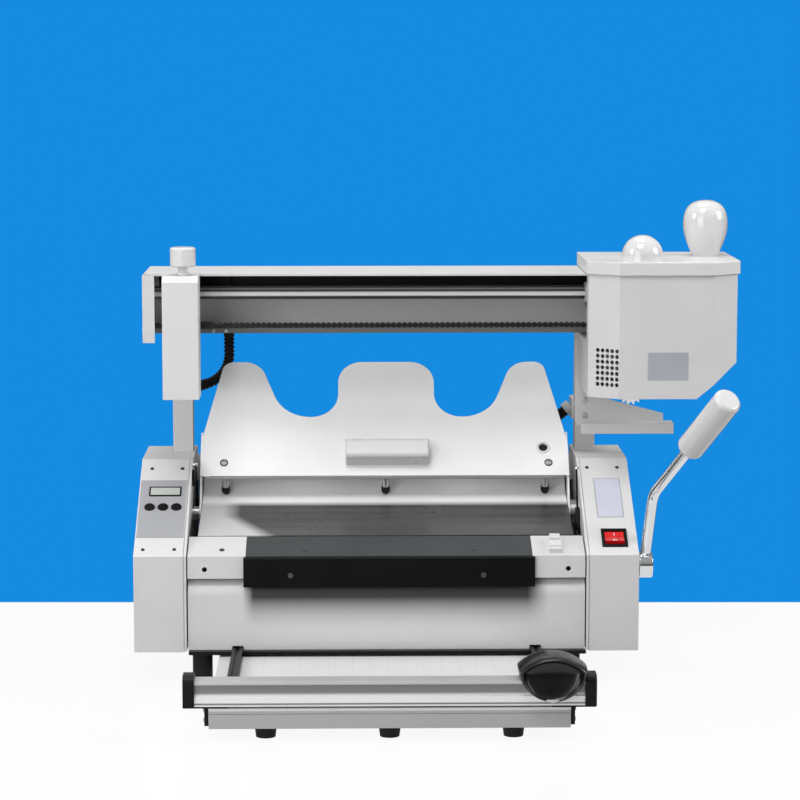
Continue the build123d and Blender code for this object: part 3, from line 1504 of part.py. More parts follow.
def make_trimmer_table():
    half = trimmer_half_width
    low = trimmer_bottom_z
    high = trimmer_top_z
    wall = trimmer_wall
    table = block(-half, half, trimmer_front_y, trimmer_back_y, low, high)
    inner = half - wall
    table -= block(-inner, inner, trimmer_front_y + wall, trimmer_back_y - wall, low + wall, high - wall)
    table -= block(-inner, inner, trimmer_front_y - 1, trimmer_front_y + 1, high - 6.5, high - 6.0)
    return table


def make_trimmer_rail():
    half = rail_half_width
    front = rail_front_y
    back = rail_front_y + rail_depth
    rail = block(-half, half, front, back, rail_bottom_z, rail_top_z)
    rail -= block(-half - 1, half + 1, front - 1, front + 2.5, groove_low_z, groove_high_z)
    rail -= block(-half - 1, half + 1, back - 2.5, back + 1, groove_low_z, groove_high_z)
    rail -= block(-half - 1, half + 1, front + 8, back - 8, rail_bottom_z + 4, rail_top_z - 6)
    return rail


def make_end_blocks():
    """Blocks at the rail's ends, each with a foot on the table and a bracket down the table's side."""
    inner = rail_half_width
    outer = inner + end_block_width
    front = rail_front_y - 3
    back = rail_front_y + rail_depth + 3
    post = block(inner, outer, front, back, rail_bottom_z, end_block_top_z)
    tall_edges = post.edges().filter_by(Axis.X).group_by(Axis.Z)[-1]
    post = fillet(tall_edges, 8.0)
    side = trimmer_half_width
    foot = block(side - 20, outer, front + 6, back - 3, trimmer_top_z, rail_bottom_z)
    bracket = block(side, side + end_bracket_width, front + 6, back - 3, end_bracket_low_z, rail_bottom_z)
    right = post + foot + bracket
    return group([mirrored(right), right])


def make_guide_bars():
    bars = []
    front = rail_front_y + rail_depth + 16
    back = trimmer_back_y
    for side in (-1, 1):
        low = side * guide_bar_x - guide_bar_width / 2
        high = side * guide_bar_x + guide_bar_width / 2
        bar = block(low, high, front, back, trimmer_top_z, trimmer_top_z + guide_bar_height)
        bar -= block(low + 4, high - 4, front - 1, back + 1, trimmer_top_z + guide_bar_height - 2, 80)
        bars.append(bar)
    return group(bars)


def shuttle_front_view():
    """Front view of the hand grip: a domed top, sides that draw in downwards and a round bottom."""
    half = shuttle_length / 2
    low = shuttle_bottom_z
    side = shuttle_side_z
    foot = shuttle_foot_z
    top = shuttle_top_z
    edges = ThreePointArc((-shuttle_foot_half, foot), (0, low), (shuttle_foot_half, foot))
    edges += Line((shuttle_foot_half, foot), (half, side))
    edges += ThreePointArc((half, side), (0, top), (-half, side))
    edges += Line((-half, side), (-shuttle_foot_half, foot))
    face = make_face(edges)
    shoulders = [v for v in face.vertices() if abs(v.Y - side) < 0.01]
    face = fillet(shoulders, shuttle_shoulder_radius)
    feet = [v for v in face.vertices() if abs(v.Y - foot) < 0.01]
    return fillet(feet, shuttle_shoulder_radius)


def make_shuttle():
    """Smooth hand grip that straddles the rail."""
    front = rail_front_y
    back = rail_front_y + rail_depth
    body_front = front - shuttle_front_reach
    body_back = back + shuttle_back_reach
    base = Plane(origin=(shuttle_x, body_front, 0), x_dir=(1, 0, 0), z_dir=(0, -1, 0))
    body = extrude(base * shuttle_front_view(), amount=-(body_back - body_front))
    ends = [face for face in body.faces() if abs(face.normal_at().Y) > 0.99]
    body = fillet([edge for face in ends for edge in face.edges()], shuttle_edge_radius)
    gap = seat_gap
    body -= block(0, 400, front - gap, back + gap, 0, rail_top_z + gap)
    pocket_front = wheel_y - 4
    pocket_back = wheel_y + 4
    reach = wheel_radius + 1.5
    body -= block(shuttle_x - reach, shuttle_x + reach, pocket_front, pocket_back, 0, rail_top_z + 2.5)
    body += rod_y(shuttle_x, pocket_front - 0.2, pocket_back + 1, wheel_z, wheel_pin_radius)
    for y in (front - gap, back + gap - shuttle_key_depth):
        key_low = groove_low_z + seat_gap
        key_high = groove_high_z - seat_gap
        body += block(shuttle_x - 20, shuttle_x + 20, y, y + shuttle_key_depth, key_low, key_high)
    return body


def make_cutter_wheel():
    wheel = rod_y(shuttle_x, wheel_y - 0.6, wheel_y + 0.6, wheel_z, wheel_radius)
    wheel += rod_y(shuttle_x, wheel_y - 2.5, wheel_y + 2.5, wheel_z, wheel_pin_radius + 3.5)
    return wheel - rod_y(shuttle_x, wheel_y - 5, wheel_y + 5, wheel_z, wheel_pin_radius + running_gap)


def build_nodes():
    nodes = {
        "side_plates": make_side_plates(),
        "left_side_cover": make_left_cover(),
        "right_side_cover": make_right_cover(),
        "front_panel": make_front_panel(),
        "rear_panel": make_rear_panel(),
        "floor_pan": make_floor_pan(),
        "rubber_feet": make_rubber_feet(),
        "frame_rods": make_frame_rods(),
        "back_sheet": make_back_sheet(),
        "rear_jaw": make_rear_jaw(),
        "jaw_carriage": make_jaw_carriage(),
        "jaw_plate": make_jaw_plate(),
        "jaw_bar": make_jaw_bar(),
        "limit_switch": make_limit_switch(),
        "cover_table": make_cover_table(),
        "table_handle": make_table_handle(),
        "table_arms": make_table_arms(),
        "table_pins": make_table_pins(),
        "pin_tips": make_pin_tips(),
        "table_pivots": make_pivot_pins(),
        "posts": make_posts(),
        "beam": make_beam(),
        "beam_ends": make_beam_ends(),
        "guide_rod": make_guide_rod(),
        "cable_duct": make_cable_duct(),
        "drive_chain": make_chain(),
        "column_head": make_column_head(),
        "adjusting_knob": make_adjusting_knob(),
        "pot_shell": make_pot_shell(),
        "pot_cover": make_pot_cover(),
        "filler_cap": make_filler_cap(),
        "carriage_handle": make_carriage_handle(),
        "carriage_block": make_carriage_block(),
        "rod_bushes": make_rod_bushes(),
        "glue_tank": make_glue_tank(),
        "cartridge_heaters": make_heaters(),
        "chain_sprocket": make_chain_sprocket(),
        "glue_roller": make_glue_roller(),
        "idler_gear": make_idler_gear(),
        "drip_tray": make_drip_tray(),
        "frame_screws": make_frame_screws(),
        "ribbed_conduits": make_conduits(),
        "conduit_boxes": make_conduit_boxes(),
        "clamp_lever": make_clamp_lever(),
        "lever_grip": make_lever_grip(),
        "control_overlay": make_control_overlay(),
        "display_window": make_display(),
        "control_board": make_control_board(),
        "switch_bezel": make_switch_bezel(),
        "rocker_switch": make_rocker(),
        "power_inlet": make_power_inlet(),
        "trimmer_table": make_trimmer_table(),
        "trimmer_rail": make_trimmer_rail(),
        "trimmer_end_blocks": make_end_blocks(),
        "trimmer_guides": make_guide_bars(),
        "trimmer_shuttle": make_shuttle(),
        "cutter_wheel": make_cutter_wheel(),
    }
    for name, x in zip(button_names, button_xs):
        nodes[name] = make_button(x)
    return nodes


def centre_shift(nodes):
    """Move that puts the origin under the middle of the whole machine, on the ground."""
    boxes = [shape.bounding_box() for shape in nodes.values()]
    x = (min(box.min.X for box in boxes) + max(box.max.X for box in boxes)) / 2
    y = (min(box.min.Y for box in boxes) + max(box.max.Y for box in boxes)) / 2
    z = min(box.min.Z for box in boxes)
    return (-x, -y, -z)


nodes = build_nodes()
shift = centre_shift(nodes)
os.makedirs("parts", exist_ok=True)
for name, shape in nodes.items():
    export_step(group([Pos(*shift) * shape]), f"parts/{name}.step")
print("nodes", len(nodes), "shift", [round(value, 3) for value in shift])
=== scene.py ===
"""Hot melt binding machine: finishes, small pieces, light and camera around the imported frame."""

import json
import logging
import math
from dataclasses import dataclass, field
from enum import Enum
from typing import Callable, Iterable, Sequence

import bmesh
import bpy
from mathutils import Matrix, Vector
from mathutils.bvhtree import BVHTree

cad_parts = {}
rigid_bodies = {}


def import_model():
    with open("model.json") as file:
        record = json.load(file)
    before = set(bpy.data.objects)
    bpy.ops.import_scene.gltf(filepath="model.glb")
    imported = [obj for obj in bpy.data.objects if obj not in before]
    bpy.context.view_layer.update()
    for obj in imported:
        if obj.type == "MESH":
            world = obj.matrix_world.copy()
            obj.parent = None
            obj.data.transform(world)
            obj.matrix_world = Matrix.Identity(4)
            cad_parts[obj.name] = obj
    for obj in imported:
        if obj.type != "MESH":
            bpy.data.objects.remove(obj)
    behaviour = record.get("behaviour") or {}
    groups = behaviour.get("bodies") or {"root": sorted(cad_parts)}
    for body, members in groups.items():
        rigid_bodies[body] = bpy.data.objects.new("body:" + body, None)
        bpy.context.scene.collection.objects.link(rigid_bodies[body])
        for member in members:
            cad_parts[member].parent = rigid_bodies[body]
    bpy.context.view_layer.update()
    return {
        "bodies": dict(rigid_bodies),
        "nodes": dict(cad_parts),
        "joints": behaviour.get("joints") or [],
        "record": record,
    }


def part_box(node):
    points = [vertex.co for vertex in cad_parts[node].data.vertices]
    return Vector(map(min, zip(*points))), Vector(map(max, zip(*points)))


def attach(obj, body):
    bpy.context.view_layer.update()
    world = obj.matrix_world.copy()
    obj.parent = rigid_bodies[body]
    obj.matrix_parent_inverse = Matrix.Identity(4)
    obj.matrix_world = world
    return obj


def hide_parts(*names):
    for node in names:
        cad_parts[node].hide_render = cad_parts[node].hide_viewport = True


log = logging.getLogger("binding_machine")

MM = 0.001
SMOOTH_ANGLE = math.radians(35)
Triple = tuple[float, float, float]
Socket = bpy.types.NodeSocket
Tree = bpy.types.NodeTree
Piece = bpy.types.Object


def linear(red: float, green: float, blue: float) -> Triple:
    """Turns a screen colour of 0 to 255 into the linear colour that a shader takes.

    Args:
        red: Red, 0 to 255.
        green: Green, 0 to 255.
        blue: Blue, 0 to 255.

    Returns:
        The linear colour.
    """
    return tuple(
        value / 12.92 if value <= 0.04045 else ((value + 0.055) / 1.055) ** 2.4
        for value in (red / 255, green / 255, blue / 255)
    )


def grey(level: float) -> Triple:
    """Gives the linear colour of a screen grey of 0 to 255."""
    return linear(level, level, level)


class Body(Enum):
    """Rigid bodies of the machine that carry new pieces."""

    FRAME = "frame"
    POT = "glue_pot"
    TABLE = "cover_table"
    ROCKER = "rocker_switch"
    SHUTTLE = "trimmer_shuttle"


class Slot(Enum):
    """Material slots of the record, listed for the new pieces."""

    WHITE = "white_plastic"
    STEEL = "bright_steel"
    CHROME = "chrome"
    BLACK_STEEL = "black_steel"
    BLACK_PLASTIC = "black_plastic"
    RUBBER = "black_rubber"
    OVERLAY = "grey_overlay"


@dataclass(frozen=True)
class Datum:
    """Turns drawing millimetres, from the body's middle, front and ground, into the frame's metres."""

    x: float
    y: float
    z: float

    @classmethod
    def from_frame(cls) -> "Datum":
        """Finds the datum from the side plates and the trimmer's rail, whose drawing places are known."""
        plates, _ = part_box("side_plates")
        rail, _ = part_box("trimmer_rail")
        return cls(plates.x + 232.3 * MM, rail.y + 252.0 * MM, rail.z - 36.5 * MM)

    def point(self, x: float, y: float, z: float) -> Vector:
        """Gives a drawing point in the frame."""
        return Vector((self.x + x * MM, self.y + y * MM, self.z + z * MM))


@dataclass(frozen=True)
class Face:
    """A flat face of the machine, with its own right and up directions."""

    origin: Vector
    right: Vector
    up: Vector

    @property
    def normal(self) -> Vector:
        """Outward direction of the face."""
        return self.right.cross(self.up).normalized()

    def matrix(self, across: float, along: float, proud: float = 0.0) -> Matrix:
        """Places a piece on the face.

        Args:
            across: Millimetres along the face's right direction.
            along: Millimetres along the face's up direction.
            proud: Millimetres outwards.

        Returns:
            The placing matrix, whose X and Y are the face's right and up.
        """
        place = self.origin + self.right * across * MM + self.up * along * MM + self.normal * proud * MM
        turn = Matrix((self.right, self.up, self.normal)).transposed()
        return Matrix.Translation(place) @ turn.to_4x4()


# Node groups


class Wiring:
    """A node tree with short ways to add and join its nodes."""

    def __init__(self, tree: Tree) -> None:
        """Keeps the tree."""
        self.tree = tree

    def add(self, kind: str, **values: object) -> bpy.types.Node:
        """Adds a node and sets its own properties."""
        node = self.tree.nodes.new(kind)
        for name, value in values.items():
            setattr(node, name, value)
        return node

    def join(self, source: Socket, target: Socket) -> None:
        """Links two sockets."""
        self.tree.links.new(source, target)

    def math(self, operation: str, first: object, second: object = 0.5) -> Socket:
        """Adds a Math node whose inputs are sockets or numbers."""
        node = self.add("ShaderNodeMath", operation=operation)
        for place, value in zip(node.inputs, (first, second)):
            if isinstance(value, (int, float)):
                place.default_value = value
            else:
                self.join(value, place)
        return node.outputs[0]

    def times(self, *factors: object) -> Socket:
        """Multiplies sockets and numbers."""
        product = factors[0]
        for factor in factors[1:]:
            product = self.math("MULTIPLY", product, factor)
        return product

    def place(self) -> Socket:
        """Gives the point's object coordinates."""
        return self.add("ShaderNodeTexCoord").outputs["Object"]

    def parts(self, vector: Socket) -> bpy.types.NodeOutputs:
        """Splits a vector into its X, Y and Z."""
        node = self.add("ShaderNodeSeparateXYZ")
        self.join(vector, node.inputs[0])
        return node.outputs

    def facing(self) -> bpy.types.NodeOutputs:
        """Gives the X, Y and Z of the surface's direction."""
        return self.parts(self.add("ShaderNodeNewGeometry").outputs["Normal"])

    def noise(self, vector: Socket, scale: object, detail: float = 2.0) -> Socket:
        """Adds a noise of a scale that is a socket or a number."""
        node = self.add("ShaderNodeTexNoise")
        node.inputs["Detail"].default_value = detail
        self.join(vector, node.inputs["Vector"])
        if isinstance(scale, Socket):
            self.join(scale, node.inputs["Scale"])
        else:
            node.inputs["Scale"].default_value = scale
        return node.outputs[0]

    def stretched(self, scale: Triple) -> Socket:
        """Gives object coordinates, scaled along each axis."""
        mapping = self.add("ShaderNodeMapping")
        mapping.inputs["Scale"].default_value = scale
        self.join(self.place(), mapping.inputs["Vector"])
        return mapping.outputs[0]

    def ramp(self, source: Socket, low: float, high: float) -> Socket:
        """Maps a value from low..high to 0..1, clamped."""
        node = self.add("ShaderNodeMapRange", clamp=True)
        node.inputs["From Min"].default_value = low
        node.inputs["From Max"].default_value = high
        self.join(source, node.inputs["Value"])
        return node.outputs["Result"]

    def blend(self, *sources: Socket) -> Socket:
        """Blends two shaders, given the share of the second one and the two."""
        node = self.add("ShaderNodeMixShader")
        for place, source in zip(node.inputs, sources):
            self.join(source, place)
        return node.outputs[0]

    def mix(self, factor: object, first: object, second: object) -> Socket:
        """Mixes two colours, each a socket or a colour."""
        node = self.add("ShaderNodeMix", data_type="RGBA")
        pairs = ((node.inputs[0], factor), (node.inputs[6], first), (node.inputs[7], second))
        for place, value in pairs:
            if isinstance(value, Socket):
                self.join(value, place)
            elif isinstance(value, (int, float)):
                place.default_value = value
            else:
                place.default_value = (*value, 1.0)
        return node.outputs[2]


@dataclass(frozen=True)
class EffectGroups:
    """The effects that several finishes share, each built once as a node group."""

    grain: Tree
    wear: Tree
    dust: Tree
    brushed: Tree

    @classmethod
    def build(cls) -> "EffectGroups":
        """Builds every shared effect."""
        return cls(cls.make_grain(), cls.make_wear(), cls.make_dust(), cls.make_brushed())

    @staticmethod
    def new_group(name: str, inputs: dict[str, float], outputs: Sequence[str]) -> tuple:
        """Starts a node group.

        Args:
            name: Name of the group.
            inputs: Names and values of its number inputs.
            outputs: Names of its number outputs.

        Returns:
            The group, its wiring, its input node and its output node.
        """
        group = bpy.data.node_groups.new(name, "ShaderNodeTree")
        for label, value in inputs.items():
            socket = group.interface.new_socket(name=label, in_out="INPUT", socket_type="NodeSocketFloat")
            socket.default_value = value
        for label in outputs:
            group.interface.new_socket(name=label, in_out="OUTPUT", socket_type="NodeSocketFloat")
        wiring = Wiring(group)
        return group, wiring, wiring.add("NodeGroupInput"), wiring.add("NodeGroupOutput")

    @classmethod
    def make_grain(cls) -> Tree:
        """Fine pimples of a sprayed or moulded surface, and a slow mottling."""
        group, wires, source, result = cls.new_group(
            "surface_grain", {"Scale": 900.0, "Mottle Scale": 22.0}, ("Height", "Mottle")
        )
        place = wires.place()
        wires.join(wires.noise(place, source.outputs["Scale"]), result.inputs["Height"])
        wires.join(wires.noise(place, source.outputs["Mottle Scale"], 3.0), result.inputs["Mottle"])
        return group

    @classmethod
    def make_wear(cls) -> Tree:
        """Mask of the edges, where paint is thin and rubbed."""
        group, wires, source, result = cls.new_group("edge_wear", {"Radius": 0.0008, "Break": 260.0}, ("Mask",))
        bevel = wires.add("ShaderNodeBevel", samples=4)
        wires.join(source.outputs["Radius"], bevel.inputs["Radius"])
        true_normal = wires.add("ShaderNodeNewGeometry").outputs["True Normal"]
        dot = wires.add("ShaderNodeVectorMath", operation="DOT_PRODUCT")
        wires.join(bevel.outputs[0], dot.inputs[0])
        wires.join(true_normal, dot.inputs[1])
        edge = wires.ramp(wires.math("SUBTRACT", 1.0, dot.outputs["Value"]), 0.02, 0.28)
        broken = wires.ramp(wires.noise(wires.place(), source.outputs["Break"], 4.0), 0.42, 0.62)
        wires.join(wires.times(edge, broken), result.inputs["Mask"])
        return group

    @classmethod
    def make_dust(cls) -> Tree:
        """Mask of the thin dust that settles on faces that look up."""
        group, wires, source, result = cls.new_group("settled_dust", {"Scale": 55.0}, ("Mask",))
        flat = wires.ramp(wires.facing()["Z"], 0.35, 0.95)
        patches = wires.ramp(wires.noise(wires.place(), source.outputs["Scale"], 6.0), 0.3, 0.75)
        wires.join(wires.times(flat, patches), result.inputs["Mask"])
        return group

    @classmethod
    def make_brushed(cls) -> Tree:
        """Fine lines that run along X, as grinding and drawing leave them."""
        group, wires, source, result = cls.new_group("brushed_lines", {"Fineness": 1500.0}, ("Lines",))
        lines = wires.noise(wires.stretched((0.012, 1.0, 1.0)), source.outputs["Fineness"], 3.0)
        wires.join(lines, result.inputs["Lines"])
        return group


# Finishes


@dataclass(frozen=True)
class Finish:
    """A surface finish: one colour with its grain, mottling, worn edges, dust and gloss."""

    name: str
    colour: Triple
    roughness: float = 0.45
    metallic: float = 0.0
    grain_scale: float = 900.0
    grain_depth: float = 0.00003
    mottle: float = 0.03
    mottle_scale: float = 22.0
    worn_colour: Triple | None = None
    worn_share: float = 0.0
    dust_share: float = 0.0
    brushed: float = 0.0
    coat: float = 0.0
    specular: float = 0.5
    edge_radius: float = 0.0004

    def build(self, effects: EffectGroups) -> bpy.types.Material:
        """Builds the material.

        Args:
            effects: The shared effects.

        Returns:
            The material with all its nodes.
        """
        material = bpy.data.materials.new(self.name)
        material.use_nodes = True
        material.diffuse_color = (*self.colour, 1.0)
        wires = Wiring(material.node_tree)
        shader = material.node_tree.nodes["Principled BSDF"]
        for socket, value in (
            ("Specular IOR Level", self.specular), ("Coat Weight", self.coat), ("Coat Roughness", 0.08),
            ("Metallic", self.metallic),
        ):
            shader.inputs[socket].default_value = value
        grain = self.place_group(wires, effects.grain, Scale=self.grain_scale)
        grain.inputs["Mottle Scale"].default_value = self.mottle_scale
        dark = tuple(value * (1 - self.mottle) for value in self.colour)
        light = tuple(min(1.0, value * (1 + self.mottle)) for value in self.colour)
        colour = wires.mix(wires.ramp(grain.outputs["Mottle"], 0.35, 0.65), dark, light)
        rough = wires.math("ADD", wires.times(grain.outputs["Mottle"], 0.10), self.roughness - 0.05)
        height = grain.outputs["Height"]
        if self.brushed > 0:
            lines = self.place_group(wires, effects.brushed).outputs["Lines"]
            rough = wires.math("ADD", rough, wires.times(lines, self.brushed))
            height = wires.math("ADD", wires.times(lines, 2.0), height)
        if self.worn_share > 0 and self.worn_colour is not None:
            worn = self.place_group(wires, effects.wear).outputs["Mask"]
            colour = wires.mix(wires.times(worn, self.worn_share), colour, self.worn_colour)
        if self.dust_share > 0:
            dust = self.place_group(wires, effects.dust).outputs["Mask"]
            share = wires.times(dust, self.dust_share)
            colour = wires.mix(share, colour, linear(188, 187, 184))
            rough = wires.math("ADD", rough, wires.times(share, 0.4))
        colour, rough = self.decorate(wires, colour, rough)
        wires.join(colour, shader.inputs["Base Color"])
        wires.join(rough, shader.inputs["Roughness"])
        rounded = wires.add("ShaderNodeBevel", samples=4)
        rounded.inputs["Radius"].default_value = self.edge_radius
        bump = wires.add("ShaderNodeBump")
        bump.inputs["Strength"].default_value = 0.6
        bump.inputs["Distance"].default_value = self.grain_depth
        wires.join(height, bump.inputs["Height"])
        wires.join(rounded.outputs[0], bump.inputs["Normal"])
        wires.join(bump.outputs[0], shader.inputs["Normal"])
        self.finish_shader(shader)
        return material

    @staticmethod
    def place_group(wires: Wiring, group: Tree, **values: float) -> bpy.types.Node:
        """Places a shared effect in the material and sets its inputs."""
        node = wires.add("ShaderNodeGroup", node_tree=group)
        for name, value in values.items():
            node.inputs[name].default_value = value
        return node

    def decorate(self, wires: Wiring, colour: object, rough: object) -> tuple:
        """Lets a special finish add its own pattern to colour and roughness."""
        return colour, rough

    def finish_shader(self, shader: bpy.types.Node) -> None:
        """Lets a special finish set the shader's own values."""


@dataclass(frozen=True)
class GlowingFinish(Finish):
    """A moulded lens with a weak light behind it."""

    glow: float = 0.2

    def finish_shader(self, shader: bpy.types.Node) -> None:
        """Adds the weak light."""
        shader.inputs["Emission Color"].default_value = (*self.colour, 1.0)
        shader.inputs["Emission Strength"].default_value = self.glow


@dataclass(frozen=True)
class ShadedSteelFinish(Finish):
    """A coated sheet whose run behind the clamp line carries a painted dark band of shade and reflection, places in
    metres of the frame.
    """

    dark: Triple = (0.05, 0.05, 0.05)
    left: float = -0.268
    left_lean: float = 0.75
    right: float = 0.190
    back: float = 0.146
    soft: float = 0.016
    rim_share: float = 0.40
    lean_start: float = 0.100
    reflection_streak_scale: Triple = (3.0, 90.0, 90.0)

    def decorate(self, wires: Wiring, colour: object, rough: object) -> tuple:
        """Paints shade and reflection on the run, with soft ends and a soft back edge."""
        parts = wires.parts(wires.place())
        across, along = parts["X"], parts["Y"]
        pulled = wires.times(wires.math("SUBTRACT", self.lean_start, along), self.left_lean)
        start = wires.math("SUBTRACT", across, wires.math("MAXIMUM", pulled, 0.0))
        left = wires.ramp(start, self.left, self.left + 2.2 * self.soft)
        right = wires.ramp(across, self.right, self.right - 1.5 * self.soft)
        middle = wires.math("MAXIMUM", wires.times(left, right), self.rim_share)
        mask = wires.times(middle, wires.ramp(along, self.back, self.back - 0.9 * self.soft))
        # Painted shade and dark reflection over the run, its share broken by faint streaky noise.
        reflection_streaks = wires.times(wires.noise(wires.stretched(self.reflection_streak_scale), 1.0), 0.10)
        share = wires.times(mask, wires.math("ADD", reflection_streaks, 0.90))
        return wires.mix(share, colour, self.dark), wires.math("SUBTRACT", rough, wires.times(mask, 0.08))


@dataclass(frozen=True)
class BandedFinish(Finish):
    """A surface whose front tone changes in level bands, each (low, high, colour) in metres of the frame."""

    bands: tuple = ()
    blur: float = 0.0008

    def decorate(self, wires: Wiring, colour: object, rough: object) -> tuple:
        """Lays the bands over the colour where the surface looks to the front."""
        height = wires.parts(wires.place())["Z"]
        front = wires.ramp(wires.facing()["Y"], 0.05, -0.05)
        for low, high, tone in self.bands:
            above = wires.ramp(height, low - self.blur, low + self.blur)
            below = wires.ramp(height, high + self.blur, high - self.blur)
            colour = wires.mix(wires.times(above, below, front), colour, tone)
        return colour, rough


@dataclass(frozen=True)
class ShadedPaint(Finish):
    """The front panel's coat, with the clamp bar's shadow painted below the bar, where the coat is also rougher,
    places in metres of the frame.
    """

    left: float = -0.2205
    right: float = 0.1130
    high: float = 0.1015
    low: float = 0.0640
    soft: float = 0.0060
    fall_power: float = 1.6
    share: float = 0.97
    shadow_tone: Triple = (0.012, 0.012, 0.012)

    def decorate(self, wires: Wiring, colour: object, rough: object) -> tuple:
        """Paints the bar's shadow on the run below the bar, with soft ends, fading downwards."""
        parts = wires.parts(wires.place())
        left = wires.ramp(parts["X"], self.left - self.soft, self.left + self.soft)
        right = wires.ramp(parts["X"], self.right + 2.0 * self.soft, self.right - 2.0 * self.soft)
        fall = wires.math("POWER", wires.ramp(parts["Z"], self.low, self.high), self.fall_power)
        # Painted shadow of the clamp bar, darkest just below it.
        mask = wires.times(left, right, fall, self.share)
        return wires.mix(mask, colour, self.shadow_tone), wires.math("ADD", rough, wires.times(mask, 0.2))


@dataclass(frozen=True)
class RuledFinish(BandedFinish):
    """A painted paper table with faint ruled lines along its length."""

    pitch: float = 0.020
    line: float = 0.05

    def decorate(self, wires: Wiring, colour: object, rough: object) -> tuple:
        """Adds one faint line at each pitch across the table."""
        colour, rough = super().decorate(wires, colour, rough)
        place = wires.math("DIVIDE", wires.math("ADD", wires.parts(wires.place())["X"], 2.0), self.pitch)
        line = wires.ramp(wires.math("FRACT", place), 1.0 - self.line, 1.0 - self.line / 2)
        mask = wires.times(line, wires.ramp(wires.facing()["Z"], 0.8, 0.95), 0.12)
        return wires.mix(mask, colour, grey(120)), rough


@dataclass(frozen=True)
class TracedFinish(Finish):
    """A circuit board's lacquer with copper tracks under it."""

    def decorate(self, wires: Wiring, colour: object, rough: object) -> tuple:
        """Adds the tracks as bands of a wave."""
        wave = wires.add("ShaderNodeTexWave", bands_direction="X")
        wave.inputs["Scale"].default_value = 90.0
        wave.inputs["Distortion"].default_value = 3.0
        wires.join(wires.place(), wave.inputs["Vector"])
        tracks = wires.ramp(wave.outputs[1], 0.80, 0.86)
        return wires.mix(wires.times(tracks, 0.5), colour, linear(60, 140, 80)), rough


PAINT = Finish(
    "light_grey_powder_coat", grey(210), roughness=0.42, grain_scale=1300.0, grain_depth=0.00006,
    mottle=0.018, worn_colour=grey(238), worn_share=0.5, dust_share=0.05, edge_radius=0.0007,
)
TABLE_WHITE = Finish(
    "bright_powder_coat", grey(238), roughness=0.44, grain_scale=1300.0, grain_depth=0.00005,
    mottle=0.012, worn_colour=grey(246), worn_share=0.3, dust_share=0.04, edge_radius=0.0007,
)
WHITE_COAT = Finish(
    "white_powder_coat", grey(216), roughness=0.38, grain_scale=1300.0, grain_depth=0.00005,
    mottle=0.014, worn_colour=grey(245), worn_share=0.4, dust_share=0.05, edge_radius=0.0007,
)
WHITE_PLASTIC = Finish(
    "white_moulded_plastic", grey(216), roughness=0.28, grain_scale=2200.0, grain_depth=0.00001,
    mottle=0.012, dust_share=0.04, edge_radius=0.0006,
)
GLOSS_WHITE = Finish(
    "glossy_white_plastic", grey(214), roughness=0.10, grain_scale=600.0, grain_depth=0.000006,
    mottle=0.010, coat=0.4, dust_share=0.03,
)
CHROME = Finish(
    "polished_chrome", linear(214, 216, 218), roughness=0.07, metallic=1.0, grain_scale=700.0,
    grain_depth=0.000004, mottle=0.02,
)
GROUND_STEEL = Finish(
    "ground_steel", linear(176, 178, 180), roughness=0.24, metallic=1.0, grain_depth=0.000012, mottle=0.05,
    brushed=0.12, worn_colour=grey(214), worn_share=0.4,
)
DARK_STEEL = Finish(
    "dark_satin_steel", linear(74, 78, 79), roughness=0.34, metallic=0.45, grain_depth=0.000010, mottle=0.05,
    brushed=0.12, worn_colour=grey(120), worn_share=0.3,
)
BLACK_STEEL = Finish(
    "blackened_steel", linear(9, 10, 10), roughness=0.38, grain_scale=1600.0, grain_depth=0.00002,
    mottle=0.18, worn_colour=grey(50), worn_share=0.25, dust_share=0.01, specular=0.10,
)
CHAIN_STEEL = Finish(
    "oiled_chain_steel", linear(34, 33, 32), roughness=0.30, metallic=0.8, grain_scale=2400.0,
    grain_depth=0.000015, mottle=0.25, mottle_scale=160.0, worn_colour=linear(120, 118, 112), worn_share=0.5,
)
BLACK_PLASTIC = Finish(
    "black_moulded_plastic", linear(12, 12, 13), roughness=0.38, grain_scale=1700.0, grain_depth=0.00003,
    mottle=0.10, worn_colour=grey(44), worn_share=0.25, dust_share=0.01, specular=0.16,
)
SHUTTLE_PLASTIC = Finish(
    "satin_grip_plastic", linear(11, 11, 12), roughness=0.24, grain_scale=2600.0, grain_depth=0.000015,
    mottle=0.08, dust_share=0.01, specular=0.35, coat=0.15,
)
RUBBER = Finish(
    "black_rubber", grey(20), roughness=0.70, grain_scale=1200.0, grain_depth=0.00005, mottle=0.15,
    dust_share=0.06, specular=0.25,
)
# Rail's front bands: painted shade in its groove and along a dark line near its foot, and painted highlights on the
# faces below the groove.
ALUMINIUM = BandedFinish(
    "anodised_aluminium", grey(196), roughness=0.36, metallic=0.5, grain_depth=0.00001,
    mottle=0.02, brushed=0.10,
    bands=(
        (0.0500, 0.0600, grey(132)), (0.0400, 0.0482, grey(236)),
        (0.0385, 0.0398, grey(60)), (0.0360, 0.0380, grey(236)),
    ),
)
CAST_ALUMINIUM = Finish(
    "cast_aluminium", linear(160, 160, 158), roughness=0.46, metallic=0.9, grain_scale=800.0,
    grain_depth=0.00008, mottle=0.10,
)
RED_LENS = GlowingFinish(
    "red_rocker_lens", linear(206, 22, 24), roughness=0.16, grain_depth=0.000006, mottle=0.04, coat=0.5,
    glow=0.12,
)
OVERLAY_FILM = Finish(
    "matt_grey_film", linear(160, 161, 165), roughness=0.50, grain_scale=2600.0, grain_depth=0.00002,
    mottle=0.012,
)
LABEL_FILM = Finish(
    "pale_label_film", linear(196, 198, 212), roughness=0.32, grain_scale=2000.0, grain_depth=0.00001,
    mottle=0.02,
)
SILVER_FILM = Finish(
    "silver_label_film", linear(176, 178, 188), roughness=0.30, metallic=0.35, grain_scale=1800.0,
    grain_depth=0.00001, mottle=0.03, brushed=0.08,
)
LCD = Finish(
    "liquid_crystal_window", linear(186, 190, 186), roughness=0.12, grain_depth=0.000003, mottle=0.03, coat=0.6,
)
PRINT_WHITE = Finish("white_print", linear(240, 236, 232), roughness=0.40, grain_depth=0.000004, mottle=0.02)
